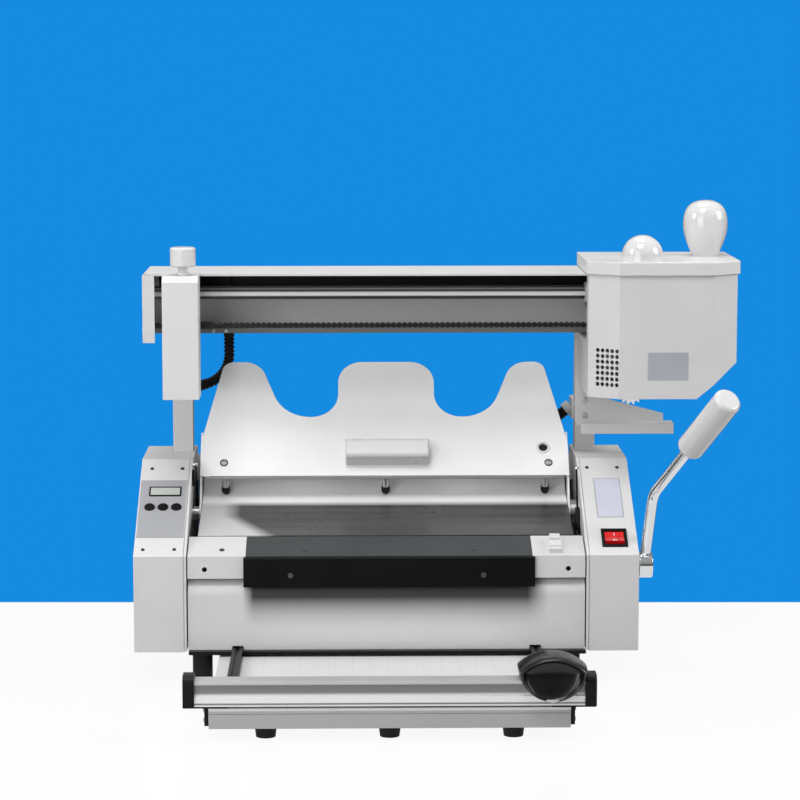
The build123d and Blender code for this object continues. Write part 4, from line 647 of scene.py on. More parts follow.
# Back sheet's coat, with a painted dark band of shade and reflection behind the clamp line.
SHEET_STEEL = ShadedSteelFinish(
    "coated_back_sheet", grey(240), roughness=0.36, grain_scale=1300.0, grain_depth=0.00003,
    mottle=0.014, dust_share=0.03, edge_radius=0.0007, dark=linear(12, 14, 15),
)
TABLE_COAT = RuledFinish(
    "ruled_grey_coat", grey(178), roughness=0.42, grain_scale=1300.0, grain_depth=0.00005,
    mottle=0.018, worn_colour=grey(220), worn_share=0.3, dust_share=0.03, edge_radius=0.0007,
    bands=((0.0312, 0.0370, grey(236)),),
)
# Front panel's coat, with the clamp bar's shadow painted below the bar.
PANEL_COAT = ShadedPaint(
    "shaded_grey_powder_coat", grey(208), roughness=0.42, grain_scale=1300.0, grain_depth=0.00006,
    mottle=0.018, worn_colour=grey(236), worn_share=0.4, dust_share=0.04, edge_radius=0.0007,
)
# Beam's band: painted shade on its lower lip.
BEAM_COAT = BandedFinish(
    "channel_grey_powder_coat", grey(212), roughness=0.42, grain_scale=1300.0, grain_depth=0.00006,
    mottle=0.018, worn_colour=grey(238), worn_share=0.4, dust_share=0.04, edge_radius=0.0007,
    bands=((0.3850, 0.3925, linear(120, 122, 120)),),
)
STRIP_GREY = Finish(
    "grey_edge_strip", grey(142), roughness=0.5, grain_scale=1500.0, grain_depth=0.00002, mottle=0.05,
)
DARK_SCREW = Finish(
    "dark_screw_steel", linear(58, 58, 60), roughness=0.34, metallic=0.6, grain_depth=0.00001, mottle=0.10,
    worn_colour=grey(130), worn_share=0.4,
)
SCREW_STEEL = Finish(
    "socket_screw_steel", linear(150, 150, 152), roughness=0.34, metallic=0.5, grain_depth=0.00001, mottle=0.10,
    worn_colour=grey(170), worn_share=0.4,
)
BOARD = TracedFinish("green_board_lacquer", linear(24, 84, 44), roughness=0.30, mottle=0.08, coat=0.3)
# Guide rod's finish: a dark base with painted reflections, a highlight band, a grey highlight line and a dark band.
PAINTED_ROD_REFLECTIONS = BandedFinish(
    "bright_guide_rod", linear(70, 71, 72), roughness=0.14, metallic=0.15, grain_depth=0.000005, mottle=0.03,
    brushed=0.04,
    bands=((0.4350, 0.4400, grey(252)), (0.4428, 0.4442, grey(170)),
           (0.4300, 0.4342, grey(14))),
)


@dataclass(frozen=True)
class NodeDressing:
    """Which finish each node of the frame gets."""

    groups: tuple = (
        (PAINT,
         "side_plates left_side_cover right_side_cover rear_panel floor_pan jaw_carriage posts "
         "beam_ends pot_shell drip_tray conduit_boxes"),
        (PANEL_COAT, "front_panel"),
        (RUBBER, "rubber_feet pin_tips"),
        (GROUND_STEEL,
         "frame_rods table_pins table_pivots cartridge_heaters chain_sprocket idler_gear "
         "frame_screws cutter_wheel"),
        (SHEET_STEEL, "back_sheet"),
        (DARK_STEEL, "rear_jaw jaw_plate"),
        (BLACK_STEEL, "jaw_bar"),
        (WHITE_PLASTIC, "limit_switch table_handle adjusting_knob rod_bushes"),
        (TABLE_WHITE, "cover_table table_arms"),
        (BEAM_COAT, "beam"),
        (PAINTED_ROD_REFLECTIONS, "guide_rod"),
        (BLACK_PLASTIC,
         "cable_duct ribbed_conduits switch_bezel power_inlet trimmer_end_blocks trimmer_guides "
         "button_set button_plus button_minus"),
        (CHAIN_STEEL, "drive_chain"),
        (WHITE_COAT, "column_head pot_cover"),
        (GLOSS_WHITE, "filler_cap carriage_handle lever_grip"),
        (CAST_ALUMINIUM, "carriage_block glue_tank"),
        (CHROME, "glue_roller clamp_lever"),
        (OVERLAY_FILM, "control_overlay"),
        (LCD, "display_window"),
        (BOARD, "control_board"),
        (RED_LENS, "rocker_switch"),
        (TABLE_COAT, "trimmer_table"),
        (ALUMINIUM, "trimmer_rail"),
        (SHUTTLE_PLASTIC, "trimmer_shuttle"),
    )

    def dress(self, nodes: dict[str, Piece], shelf: "MaterialShelf") -> None:
        """Puts each node's finish in its object's material slots.

        Args:
            nodes: The frame's nodes by name.
            shelf: The materials made so far.
        """
        finishes = {name: finish for finish, names in self.groups for name in names.split()}
        for name, piece in nodes.items():
            material = shelf.get(finishes[name])
            for place in range(max(1, len(piece.material_slots))):
                if place >= len(piece.material_slots):
                    piece.data.materials.append(material)
                else:
                    piece.material_slots[place].material = material
            log.info("dressed %s with %s", name, material.name)


class MaterialShelf:
    """Keeps each finish's material, so that each is built once."""

    def __init__(self, effects: EffectGroups) -> None:
        """Starts with an empty shelf."""
        self.effects = effects
        self.made: dict[str, bpy.types.Material] = {}

    def get(self, finish: Finish) -> bpy.types.Material:
        """Gives a finish's material."""
        if finish.name not in self.made:
            self.made[finish.name] = finish.build(self.effects)
        return self.made[finish.name]


# Modelling


class Bench:
    """Ways to model a piece with Blender's own tools and put it in its place."""

    def __init__(self, shelf: MaterialShelf) -> None:
        """Keeps the materials."""
        self.shelf = shelf

    @staticmethod
    def clear() -> None:
        """Leaves nothing selected."""
        if bpy.context.object is not None and bpy.context.object.mode != "OBJECT":
            bpy.ops.object.mode_set(mode="OBJECT")
        bpy.ops.object.select_all(action="DESELECT")

    def pick(self, *pieces: Piece) -> None:
        """Selects pieces and nothing else, the first one active."""
        self.clear()
        for piece in pieces:
            piece.select_set(True)
        bpy.context.view_layer.objects.active = pieces[0]

    def block(self, name: str, size: Triple) -> Piece:
        """Adds a block whose foot is at z = 0, sizes in millimetres."""
        self.clear()
        bpy.ops.mesh.primitive_cube_add(size=1.0, location=(0, 0, size[2] * MM / 2))
        piece = bpy.context.object
        piece.name = name
        piece.scale = tuple(value * MM for value in size)
        bpy.ops.object.transform_apply(location=True, rotation=True, scale=True)
        return piece

    def disc(self, name: str, radius: float, height: float, sides: int = 48) -> Piece:
        """Adds a cylinder whose foot is at z = 0, sizes in millimetres."""
        self.clear()
        bpy.ops.mesh.primitive_cylinder_add(
            vertices=sides, radius=radius * MM, depth=height * MM, location=(0, 0, height * MM / 2)
        )
        piece = bpy.context.object
        piece.name = name
        bpy.ops.object.transform_apply(location=True, rotation=True, scale=True)
        return piece

    def rod(self, name: str, start: Vector, end: Vector, radius: float, sides: int = 24) -> Piece:
        """Adds a rod with rounded ends between two points of the frame, its radius in millimetres."""
        way = end - start
        rod = self.disc(name, radius, way.length / MM, sides)
        rod.data.transform(Matrix.Translation(start) @ way.to_track_quat("Z", "Y").to_matrix().to_4x4())
        self.soften(rod, radius * 0.35)
        return rod

    def bevel_where(
        self, piece: Piece, test: Callable[[Vector, Vector], bool], width: float, segments: int = 3
    ) -> None:
        """Bevels the edges that a test picks.

        Args:
            piece: The piece to shape.
            test: Takes an edge's middle and direction.
            width: Bevel width in millimetres.
            segments: Steps of the bevel.
        """
        self.pick(piece)
        bpy.ops.object.mode_set(mode="EDIT")
        bpy.ops.mesh.select_mode(type="EDGE")
        bpy.ops.mesh.select_all(action="DESELECT")
        form = bmesh.from_edit_mesh(piece.data)
        for edge in form.edges:
            first, second = (corner.co for corner in edge.verts)
            edge.select = test((first + second) / 2, (second - first).normalized())
        form.select_flush_mode()
        bmesh.update_edit_mesh(piece.data)
        bpy.ops.mesh.bevel(offset=width * MM, segments=segments, affect="EDGES")
        bpy.ops.object.mode_set(mode="OBJECT")

    def cut(self, piece: Piece, tool: Piece) -> None:
        """Takes a tool's shape away from a piece and removes the tool."""
        self.pick(piece)
        step = piece.modifiers.new("shape", "BOOLEAN")
        step.operation = "DIFFERENCE"
        step.solver = "EXACT"
        step.object = tool
        bpy.ops.object.modifier_apply(modifier=step.name)
        bpy.data.objects.remove(tool, do_unlink=True)

    def soften(self, piece: Piece, width: float, segments: int = 2) -> None:
        """Rounds every sharp edge by a small width in millimetres."""
        self.pick(piece)
        step = piece.modifiers.new("edges", "BEVEL")
        step.width = width * MM
        step.segments = segments
        step.limit_method = "ANGLE"
        bpy.ops.object.modifier_apply(modifier=step.name)

    def place(self, piece: Piece, matrix: Matrix) -> None:
        """Moves a piece to its place and keeps the place in its mesh."""
        piece.data.transform(matrix)
        piece.matrix_world = Matrix.Identity(4)
        piece.data.update()

    def copies(self, piece: Piece, name: str, places: Iterable[Matrix]) -> Piece:
        """Makes one piece from copies of a model, one at each place, and removes the model."""
        made = []
        for matrix in places:
            copy = piece.copy()
            copy.data = piece.data.copy()
            bpy.context.scene.collection.objects.link(copy)
            self.place(copy, matrix)
            made.append(copy)
        bpy.data.objects.remove(piece, do_unlink=True)
        return self.join(made, name)

    def join(self, pieces: Sequence[Piece], name: str) -> Piece:
        """Joins pieces into one."""
        self.pick(*pieces)
        if len(pieces) > 1:
            bpy.ops.object.join()
        pieces[0].name = name
        return pieces[0]

    def hand_over(self, piece: Piece, finish: Finish, body: Body, slot: Slot, *nodes: str) -> None:
        """Gives a piece its finish and body, and reports it.

        Args:
            piece: The finished piece.
            finish: Its finish.
            body: The body it rides on.
            slot: The record's slot, not used.
            nodes: Names of the nodes that it stands for.
        """
        self.pick(piece)
        bpy.ops.object.shade_smooth_by_angle(angle=SMOOTH_ANGLE)
        piece.data.materials.clear()
        piece.data.materials.append(self.shelf.get(finish))
        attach(piece, body.value)
        if nodes:
            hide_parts(*nodes)
        log.info("piece %s: %d faces on %s", piece.name, len(piece.data.polygons), body.value)


@dataclass(frozen=True)
class Island:
    """One loose solid of a node: its middle, size and main flat face."""

    middle: Vector
    size: Vector
    axis: Vector


def find_islands(piece: Piece) -> list[Island]:
    """Splits a node's triangles into its loose solids.

    Args:
        piece: The node's object, which stays as it is.

    Returns:
        One record for each loose solid, in the order of their places.
    """
    form = bmesh.new()
    form.from_mesh(piece.data)
    bmesh.ops.remove_doubles(form, verts=form.verts, dist=1e-6)
    form.faces.ensure_lookup_table()
    seen: set[int] = set()
    found = []
    for start in form.faces:
        if start.index in seen:
            continue
        seen.add(start.index)
        queue, faces = [start], []
        while queue:
            face = queue.pop()
            faces.append(face)
            for edge in face.edges:
                for other in edge.link_faces:
                    if other.index not in seen:
                        seen.add(other.index)
                        queue.append(other)
        points = [corner.co for face in faces for corner in face.verts]
        low = Vector([min(point[axis] for point in points) for axis in range(3)])
        high = Vector([max(point[axis] for point in points) for axis in range(3)])
        sums: dict[tuple, float] = {}
        for face in faces:
            key = tuple(round(value, 2) for value in face.normal)
            sums[key] = sums.get(key, 0.0) + face.calc_area()
        axis = Vector(max(sums, key=lambda key: (round(sums[key], 9), key))).normalized()
        found.append(Island((low + high) / 2, high - low, axis))
    form.free()
    found.sort(key=lambda island: tuple(round(value, 5) for value in island.middle))
    return found


def surface_of(piece: Piece) -> BVHTree:
    """Gives a node's surface for finding points on it."""
    form = bmesh.new()
    form.from_mesh(piece.data)
    tree = BVHTree.FromBMesh(form)
    form.free()
    return tree


# Sub-assemblies


@dataclass
class ControlPanel:
    """Frame of the display, bare of digits, and the marks on the mains switch."""

    bench: Bench
    datum: Datum
    slant_degrees: float = math.degrees(math.atan2(88.5, 155.0))
    fold_z: float = 149.5
    display_x: float = -259.0
    display_along: float = 116.55
    display_width: float = 37.5
    display_length: float = 16.7
    frame_width: float = 0.2
    frame_inset: float = 1.6
    film_proud: float = 0.6

    def slant(self) -> Face:
        """Sloping top face of the side covers."""
        angle = math.radians(self.slant_degrees)
        up = Vector((0, math.cos(angle), math.sin(angle)))
        return Face(self.datum.point(0, 0, self.fold_z), Vector((1, 0, 0)), up)

    def build(self, nodes: dict[str, Piece]) -> None:
        """Builds the panel's pieces."""
        self.build_display_frame()
        self.build_switch_marks(nodes["rocker_switch"])

    def build_display_frame(self) -> None:
        """Thin dark frame round the display window."""
        rim = self.frame_width
        frame = self.bench.block("display_frame", (self.display_width + 2 * rim, self.display_length + 2 * rim, 1.1))
        self.bench.bevel_where(frame, lambda middle, way: abs(way.z) > 0.9, 1.2, 4)
        inset = 2 * self.frame_inset
        hole = self.bench.block("hole", (self.display_width - inset, self.display_length - inset, 3.0))
        hole.data.transform(Matrix.Translation((0, 0, -0.001)))
        self.bench.cut(frame, hole)
        self.bench.soften(frame, 0.15)
        self.bench.place(frame, self.slant().matrix(self.display_x, self.display_along, self.film_proud))
        self.bench.hand_over(frame, BLACK_PLASTIC, Body.FRAME, Slot.BLACK_PLASTIC)

    def build_switch_marks(self, rocker: Piece) -> None:
        """Plain on and off marks on the two halves of the rocker."""
        face = self.slant()
        tree = surface_of(rocker)
        low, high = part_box("rocker_switch")
        middle = (low + high) / 2
        for name, along in (("switch_mark_on", 6.2), ("switch_mark_off", -6.2)):
            start = middle + face.up * along * MM + face.normal * 0.05
            hit, normal, _, _ = tree.ray_cast(start, -face.normal)
            if hit is None:
                log.warning("no rocker surface under %s", name)
                continue
            up = normal.cross(Vector((1, 0, 0))).normalized()
            spot = Face(hit, Vector((1, 0, 0)), up)
            if name.endswith("on"):
                mark = self.bench.block(name, (0.9, 4.6, 0.18))
                self.bench.soften(mark, 0.05, 1)
            else:
                mark = self.bench.disc(name, 2.4, 0.18, 40)
                self.bench.cut(mark, self.bench.disc("hole", 1.6, 1.0, 40))
            self.bench.place(mark, spot.matrix(0, 0, -0.03))
            self.bench.hand_over(mark, PRINT_WHITE, Body.ROCKER, Slot.WHITE)


@dataclass
class Labels:
    """Plain label films, left bare, on the right cover and the glue pot."""

    bench: Bench
    datum: Datum
    panel: ControlPanel
    thickness: float = 0.25

    def film(self, name: str, width: float, length: float, corner: float) -> Piece:
        """Models a film with rounded corners."""
        film = self.bench.block(name, (width, length, self.thickness))
        self.bench.bevel_where(film, lambda middle, way: abs(way.z) > 0.9, corner, 4)
        self.bench.soften(film, 0.06, 1)
        return film

    def build(self) -> None:
        """Builds the films."""
        slant = self.panel.slant()
        front = Face(self.datum.point(0, 58.0, 0), Vector((1, 0, 0)), Vector((0, 0, 1)))
        for name, face, place, size, corner, finish, body in (
            ("cover_label", slant, (262.5, 103.9), (31.0, 72.2), 1.0, LABEL_FILM, Body.FRAME),
            ("pot_label", front, (327.0, 360.5), (48.0, 33.0), 1.6, SILVER_FILM, Body.POT),
        ):
            edge = self.film(name + "_edge", size[0], size[1], corner)
            self.bench.place(edge, face.matrix(place[0], place[1], 0.0))
            self.bench.hand_over(edge, STRIP_GREY if body is Body.FRAME else LABEL_FILM, body, Slot.OVERLAY)
            film = self.film(name, size[0] - 1.4, size[1] - 1.4, corner)
            self.bench.place(film, face.matrix(place[0], place[1], 0.05))
            self.bench.hand_over(film, finish, body, Slot.OVERLAY)


@dataclass
class ScrewHeads:
    """Pan heads with a cross recess, in the places of the frame's plain screws."""

    bench: Bench
    datum: Datum
    recess_share: float = 0.55
    slot_share: float = 0.20
    dark_radius: float = 2.2
    dark_height: float = 1.1
    first_turn: float = 0.35
    turn_step: float = 1.1

    def model(self, radius: float, height: float) -> Piece:
        """Models one head, foot at z = 0, sizes in millimetres."""
        head = self.bench.disc("head", radius, height, 32)
        self.bench.bevel_where(
            head, lambda middle, way: middle.z > height * MM * 0.9 and abs(way.z) < 0.1, min(radius, height) * 0.55, 4
        )
        arms = []
        for turn in (0.0, math.pi / 2):
            arm = self.bench.block("arm", (2 * radius * self.recess_share, 2 * radius * self.slot_share, height))
            arm.data.transform(Matrix.Translation((0, 0, height * MM * 0.5)) @ Matrix.Rotation(turn, 4, "Z"))
            arms.append(arm)
        self.bench.cut(head, arms[0])
        self.bench.cut(head, arms[1])
        return head

    def outward(self, island: Island) -> Vector:
        """Direction that a screw's head looks: up, to the front, or away from the body's middle."""
        axis = Vector(island.axis)
        if abs(axis.z) > 0.7:
            facing = axis.z
        elif abs(axis.y) > 0.7:
            facing = -axis.y
        else:
            facing = axis.x * (island.middle.x - self.datum.x)
        return axis if facing > 0 else -axis

    def build(self, screws: Piece) -> None:
        """Builds all heads of the frame's screws.

        Args:
            screws: The frame's plain screws.
        """
        groups: dict[tuple, list[Matrix]] = {}
        dark_places: list[Matrix] = []
        for number, island in enumerate(find_islands(screws)):
            axis = self.outward(island)
            reach = sum(abs(axis[place]) * island.size[place] for place in range(3))
            flat = Vector(axis).orthogonal().normalized()
            other = axis.cross(flat).normalized()
            width = max(
                (island.size[place] for place in range(3) if abs(axis[place]) < 0.4), default=max(island.size)
            )
            squared = math.sqrt(max(0.0, 1 - axis.x ** 2))
            if 0.2 < abs(axis.y) < 0.98 and abs(axis.x) < 0.1:
                width = island.size.x
                reach = max(0.001, (island.size.z - width * abs(axis.y)) / max(0.1, abs(axis.z)))
            key = (round(width / 2 / MM, 2), round(reach / MM, 2), round(squared, 1))
            turn = Matrix.Rotation(self.first_turn + number * self.turn_step, 4, "Z")
            frame = Matrix((flat, other, axis)).transposed().to_4x4()
            place = Matrix.Translation(island.middle - axis * reach / 2) @ frame @ turn
            if 0.7 < abs(axis.z) < 0.95:
                dark_places.append(place)
            else:
                groups.setdefault(key, []).append(place)
        made = []
        for (radius, height, _), places in sorted(groups.items()):
            made.append(self.bench.copies(self.model(radius, height), "heads", places))
        dark = self.bench.copies(self.model(self.dark_radius, self.dark_height), "cover_screws", dark_places)
        self.bench.hand_over(dark, DARK_SCREW, Body.FRAME, Slot.STEEL)
        heads = self.bench.join(made, "screw_heads")
        self.bench.hand_over(heads, GROUND_STEEL, Body.FRAME, Slot.STEEL, "frame_screws")


@dataclass
class TableFittings:
    """Strip under the wave table's foot, its socket screws, the ring at its hole, and a black strip for the shade
    under the panel's bottom edge.
    """

    bench: Bench
    datum: Datum
    foot: Triple = (0.0, 150.0, 218.5)
    lean_degrees: float = 50.0
    strip_left: float = -209.0
    strip_right: float = 214.0
    strip_height: float = 3.6
    strip_depth: float = 2.0
    strip_y: float = 150.3
    strip_foot: float = 214.2
    screws: tuple = ((-192.7, 18.2), (196.7, 17.5))
    screw_radius: float = 5.0
    socket_radius: float = 2.4
    ring_place: tuple = (190.9, 38.5)
    panel_strip: tuple = (-227.0, 229.0, 34.3, 38.3)
    strip_reach: float = 10.0
    guide_x: float = 171.0
    guide_notch: float = 12.6
    ring_radius: float = 8.0
    ring_hole: float = 5.3

    def plane(self) -> Face:
        """Front face of the table."""
        lean = math.radians(self.lean_degrees)
        return Face(self.datum.point(*self.foot), Vector((1, 0, 0)), Vector((0, math.cos(lean), math.sin(lean))))

    def build(self) -> None:
        """Builds the fittings."""
        self.build_panel_strip()
        self.build_strip()
        self.build_screws()
        self.build_ring()

    def build_panel_strip(self) -> None:
        """Black strip standing for the shade under the panel's bottom edge, set in front of that edge, with rounded
        ends, notched at the two guides.
        """
        left, right, low, high = self.panel_strip
        # A black strip stands in for the shade under the panel's bottom edge.
        strip = self.bench.block("panel_foot_shade_strip", (right - left, self.strip_reach, high - low))
        self.bench.bevel_where(strip, lambda middle, way: abs(way.y) > 0.9, 1.6, 4)
        middle_y = 1.0 - self.strip_reach / 2
        middle_z = (low + high) / 2
        self.bench.place(strip, Matrix.Translation(self.datum.point((left + right) / 2, middle_y, middle_z)))
        for x in (-self.guide_x, self.guide_x):
            notch = self.bench.block("notch", (self.guide_notch, 2 * self.strip_reach, 20.0))
            self.bench.place(notch, Matrix.Translation(self.datum.point(x, middle_y, middle_z)))
            self.bench.cut(strip, notch)
        self.bench.hand_over(strip, BLACK_PLASTIC, Body.FRAME, Slot.BLACK_PLASTIC)

    def build_strip(self) -> None:
        """Strip that hangs just under the table's bottom edge."""
        length = self.strip_right - self.strip_left
        strip = self.bench.block("table_strip", (length, self.strip_depth, self.strip_height))
        self.bench.soften(strip, 0.4)
        middle = (self.strip_left + self.strip_right) / 2
        self.bench.place(strip, Matrix.Translation(self.datum.point(middle, self.strip_y, self.strip_foot)))
        self.bench.hand_over(strip, STRIP_GREY, Body.TABLE, Slot.STEEL)

    def build_screws(self) -> None:
        """Cap screws with a hexagon socket, each in a dark washer."""
        face = self.plane()
        places = [face.matrix(across, along) for across, along in self.screws]
        washer = self.bench.disc("washer", self.screw_radius, 0.5, 40)
        self.bench.cut(washer, self.bench.disc("hole", self.screw_radius - 1.3, 3.0, 40))
        self.bench.soften(washer, 0.15)
        washers = self.bench.copies(washer, "table_washers", places)
        self.bench.hand_over(washers, DARK_SCREW, Body.TABLE, Slot.STEEL)
        head = self.bench.disc("head", self.screw_radius - 1.4, 1.1, 36)
        self.bench.bevel_where(head, lambda middle, way: middle.z > 1.0 * MM and abs(way.z) < 0.1, 0.5, 4)
        socket = self.bench.disc("socket", self.socket_radius, 2.0, 6)
        socket.data.transform(Matrix.Translation((0, 0, 0.3 * MM)))
        self.bench.cut(head, socket)
        heads = self.bench.copies(head, "table_screws", places)
        self.bench.hand_over(heads, SCREW_STEEL, Body.TABLE, Slot.STEEL)

    def build_ring(self) -> None:
        """Pale grommet round the hole near the right end, and a dark disc in the hole that stands in for the shade
        inside it.
        """
        ring = self.bench.disc("table_grommet", self.ring_radius, 1.2, 48)
        self.bench.cut(ring, self.bench.disc("hole", self.ring_hole, 4.0, 48))
        self.bench.soften(ring, 0.4, 3)
        self.bench.place(ring, self.plane().matrix(*self.ring_place))
        self.bench.hand_over(ring, WHITE_PLASTIC, Body.TABLE, Slot.WHITE)
        # Dark rubber disc in the hole, standing in for the shade seen through it.
        shade_disc = self.bench.disc("table_hole_shade_disc", self.ring_hole - 0.3, 0.8, 40)
        self.bench.soften(shade_disc, 0.2)
        self.bench.place(shade_disc, self.plane().matrix(*self.ring_place, -1.6))
        self.bench.hand_over(shade_disc, RUBBER, Body.TABLE, Slot.RUBBER)


@dataclass
class ShuttleGrip:
    """The trimmer's hand grip: a domed cap over a scooped front, open underneath round the rail."""

    bench: Bench
    datum: Datum
    middle_x: float = 172.5
    half: float = 36.75
    top_z: float = 90.5
    side_z: float = 76.0
    bottom_z: float = 41.5
    core_z: float = 62.0
    scoop: float = 6.0
    guard_radius: float = 9.5
    guard_place: Triple = (171.5, -264.9, 52.0)
    channels: tuple = ((300.0, -252.3, -227.7, 63.8), (30.0, -225.5, -217.5, 66.0))
    sides: int = 72
    stations: tuple = (
        (-214.0, 0.30), (-214.0, 0.62), (-214.4, 0.80), (-216.0, 0.91), (-220.0, 0.975), (-228.0, 1.0),
        (-248.0, 1.0), (-257.0, 0.985), (-262.0, 0.955), (-264.6, 0.915), (-265.0, 0.885), (-264.6, 0.84),
        (-262.8, 0.80), (-261.6, 0.68), (-261.0, 0.45), (-260.8, 0.20),
    )

    def outline(self, angle: float) -> tuple[float, float]:
        """Point of the front outline at an angle, as x from the middle and z."""
        x = self.half * math.cos(angle)
        if math.sin(angle) < 0:
            return x, self.side_z + (self.side_z - self.bottom_z) * math.sin(angle)
        rise = self.top_z - self.side_z
        radius = (self.half ** 2 + rise ** 2) / (2 * rise)
        return x, self.top_z - radius + math.sqrt(radius ** 2 - x ** 2)

    def build(self) -> None:
        """Builds the grip and the pale guard at its foot."""
        grip = self.shape_grip()
        self.cut_channel(grip)
        self.bench.hand_over(grip, SHUTTLE_PLASTIC, Body.SHUTTLE, Slot.BLACK_PLASTIC, "trimmer_shuttle")
        self.build_guard()

    def shape_grip(self) -> Piece:
        """Extrudes a disc once for each station and fits every ring to the outline."""
        self.bench.clear()
        bpy.ops.mesh.primitive_circle_add(vertices=self.sides, radius=1.0, fill_type="NGON")
        grip = bpy.context.object
        grip.name = "shuttle_grip"
        bpy.ops.object.mode_set(mode="EDIT")
        bpy.ops.mesh.select_all(action="SELECT")
        for _ in self.stations[1:]:
            bpy.ops.mesh.extrude_region_move(TRANSFORM_OT_translate={"value": (0, 0, 1)})
        bpy.ops.mesh.select_all(action="SELECT")
        bpy.ops.object.mode_set(mode="OBJECT")
        for corner in grip.data.vertices:
            angle = math.atan2(corner.co.y, corner.co.x)
            depth, share = self.stations[round(corner.co.z)]
            x, z = self.outline(angle)
            x, z = x * share, self.core_z + (z - self.core_z) * share
            scooped = max(0.0, min(1.0, (0.86 - share) / 0.06)) if depth < -260 else 0.0
            upper = max(0.0, min(1.0, (z - self.bottom_z - 6) / 32))
            depth += scooped * self.scoop * upper * upper * (3 - 2 * upper)
            corner.co = self.datum.point(self.middle_x + x, depth, z)
        self.bench.pick(grip)
        step = grip.modifiers.new("smooth", "SUBSURF")
        step.levels = step.render_levels = 1
        bpy.ops.object.modifier_apply(modifier=step.name)
        bpy.ops.object.mode_set(mode="EDIT")
        bpy.ops.mesh.select_all(action="SELECT")
        bpy.ops.mesh.normals_make_consistent(inside=False)
        bpy.ops.object.mode_set(mode="OBJECT")
        return grip

    def cut_channel(self, grip: Piece) -> None:
        """Opens the grip for the rail and the cutter wheel."""
        for width, front, back, top in self.channels:
            tool = self.bench.block("channel", (width, back - front, top))
            self.bench.place(tool, Matrix.Translation(self.datum.point(self.middle_x, (front + back) / 2, 0)))
            self.bench.cut(grip, tool)

    def build_guard(self) -> None:
        """Pale half-moon at the foot of the grip's front."""
        guard = self.bench.disc("shuttle_guard", self.guard_radius, 1.0, 48)
        cover = self.bench.block("cover", (40.0, 40.0, 4.0))
        cover.data.transform(Matrix.Translation((0, 13.8 * MM, -1.0 * MM)))
        self.bench.cut(guard, cover)
        self.bench.soften(guard, 0.3)
        front = Face(self.datum.point(*self.guard_place), Vector((1, 0, 0)), Vector((0, 0, 1)))
        self.bench.place(guard, front.matrix(0, 0))
        self.bench.hand_over(guard, WHITE_PLASTIC, Body.SHUTTLE, Slot.WHITE)


@dataclass
class SideLinks:
    """Small links between the wave table's ends and the side plates."""

    bench: Bench
    datum: Datum

    bracket_size: Triple = (3.0, 9.0, 19.0)
    bracket_place: Triple = (-227.9, 136.0, 209.5)
    rods: tuple = (
        ("link_rods", BLACK_STEEL, Slot.BLACK_STEEL, (
            ((-225.6, 147.0, 231.0), (-225.4, 166.0, 186.0), 1.0),
            ((226.4, 114.0, 231.0), (226.6, 98.0, 180.0), 1.2),
        )),
        ("link_feet", BLACK_PLASTIC, Slot.BLACK_PLASTIC, (
            ((-225.5, 165.0, 188.5), (-225.3, 170.0, 176.5), 2.2),
            ((226.5, 100.5, 188.0), (226.9, 91.0, 162.0), 2.6),
            ((228.0, 96.0, 186.0), (228.4, 89.0, 158.0), 1.3),
        )),
        ("link_pins", CHROME, Slot.CHROME, (
            ((-229.4, 147.0, 233.2), (-223.4, 147.0, 233.2), 2.4),
            ((229.4, 114.0, 232.2), (225.0, 114.0, 232.2), 2.0),
        )),
    )

    def build(self) -> None:
        """Builds the left bracket, and each group of rods as one piece."""
        bracket = self.bench.block("left_link_bracket", self.bracket_size)
        self.bench.bevel_where(bracket, lambda middle, way: abs(way.x) > 0.9 and middle.z > 10.0 * MM, 3.0, 3)
        self.bench.soften(bracket, 0.4)
        self.bench.place(bracket, Matrix.Translation(self.datum.point(*self.bracket_place)))
        self.bench.hand_over(bracket, BLACK_STEEL, Body.FRAME, Slot.BLACK_STEEL)
        for name, finish, slot, rods in self.rods:
            made = [
                self.bench.rod("rod", self.datum.point(*start), self.datum.point(*end), radius)
                for start, end, radius in rods
            ]
            self.bench.hand_over(self.bench.join(made, name), finish, Body.FRAME, slot)


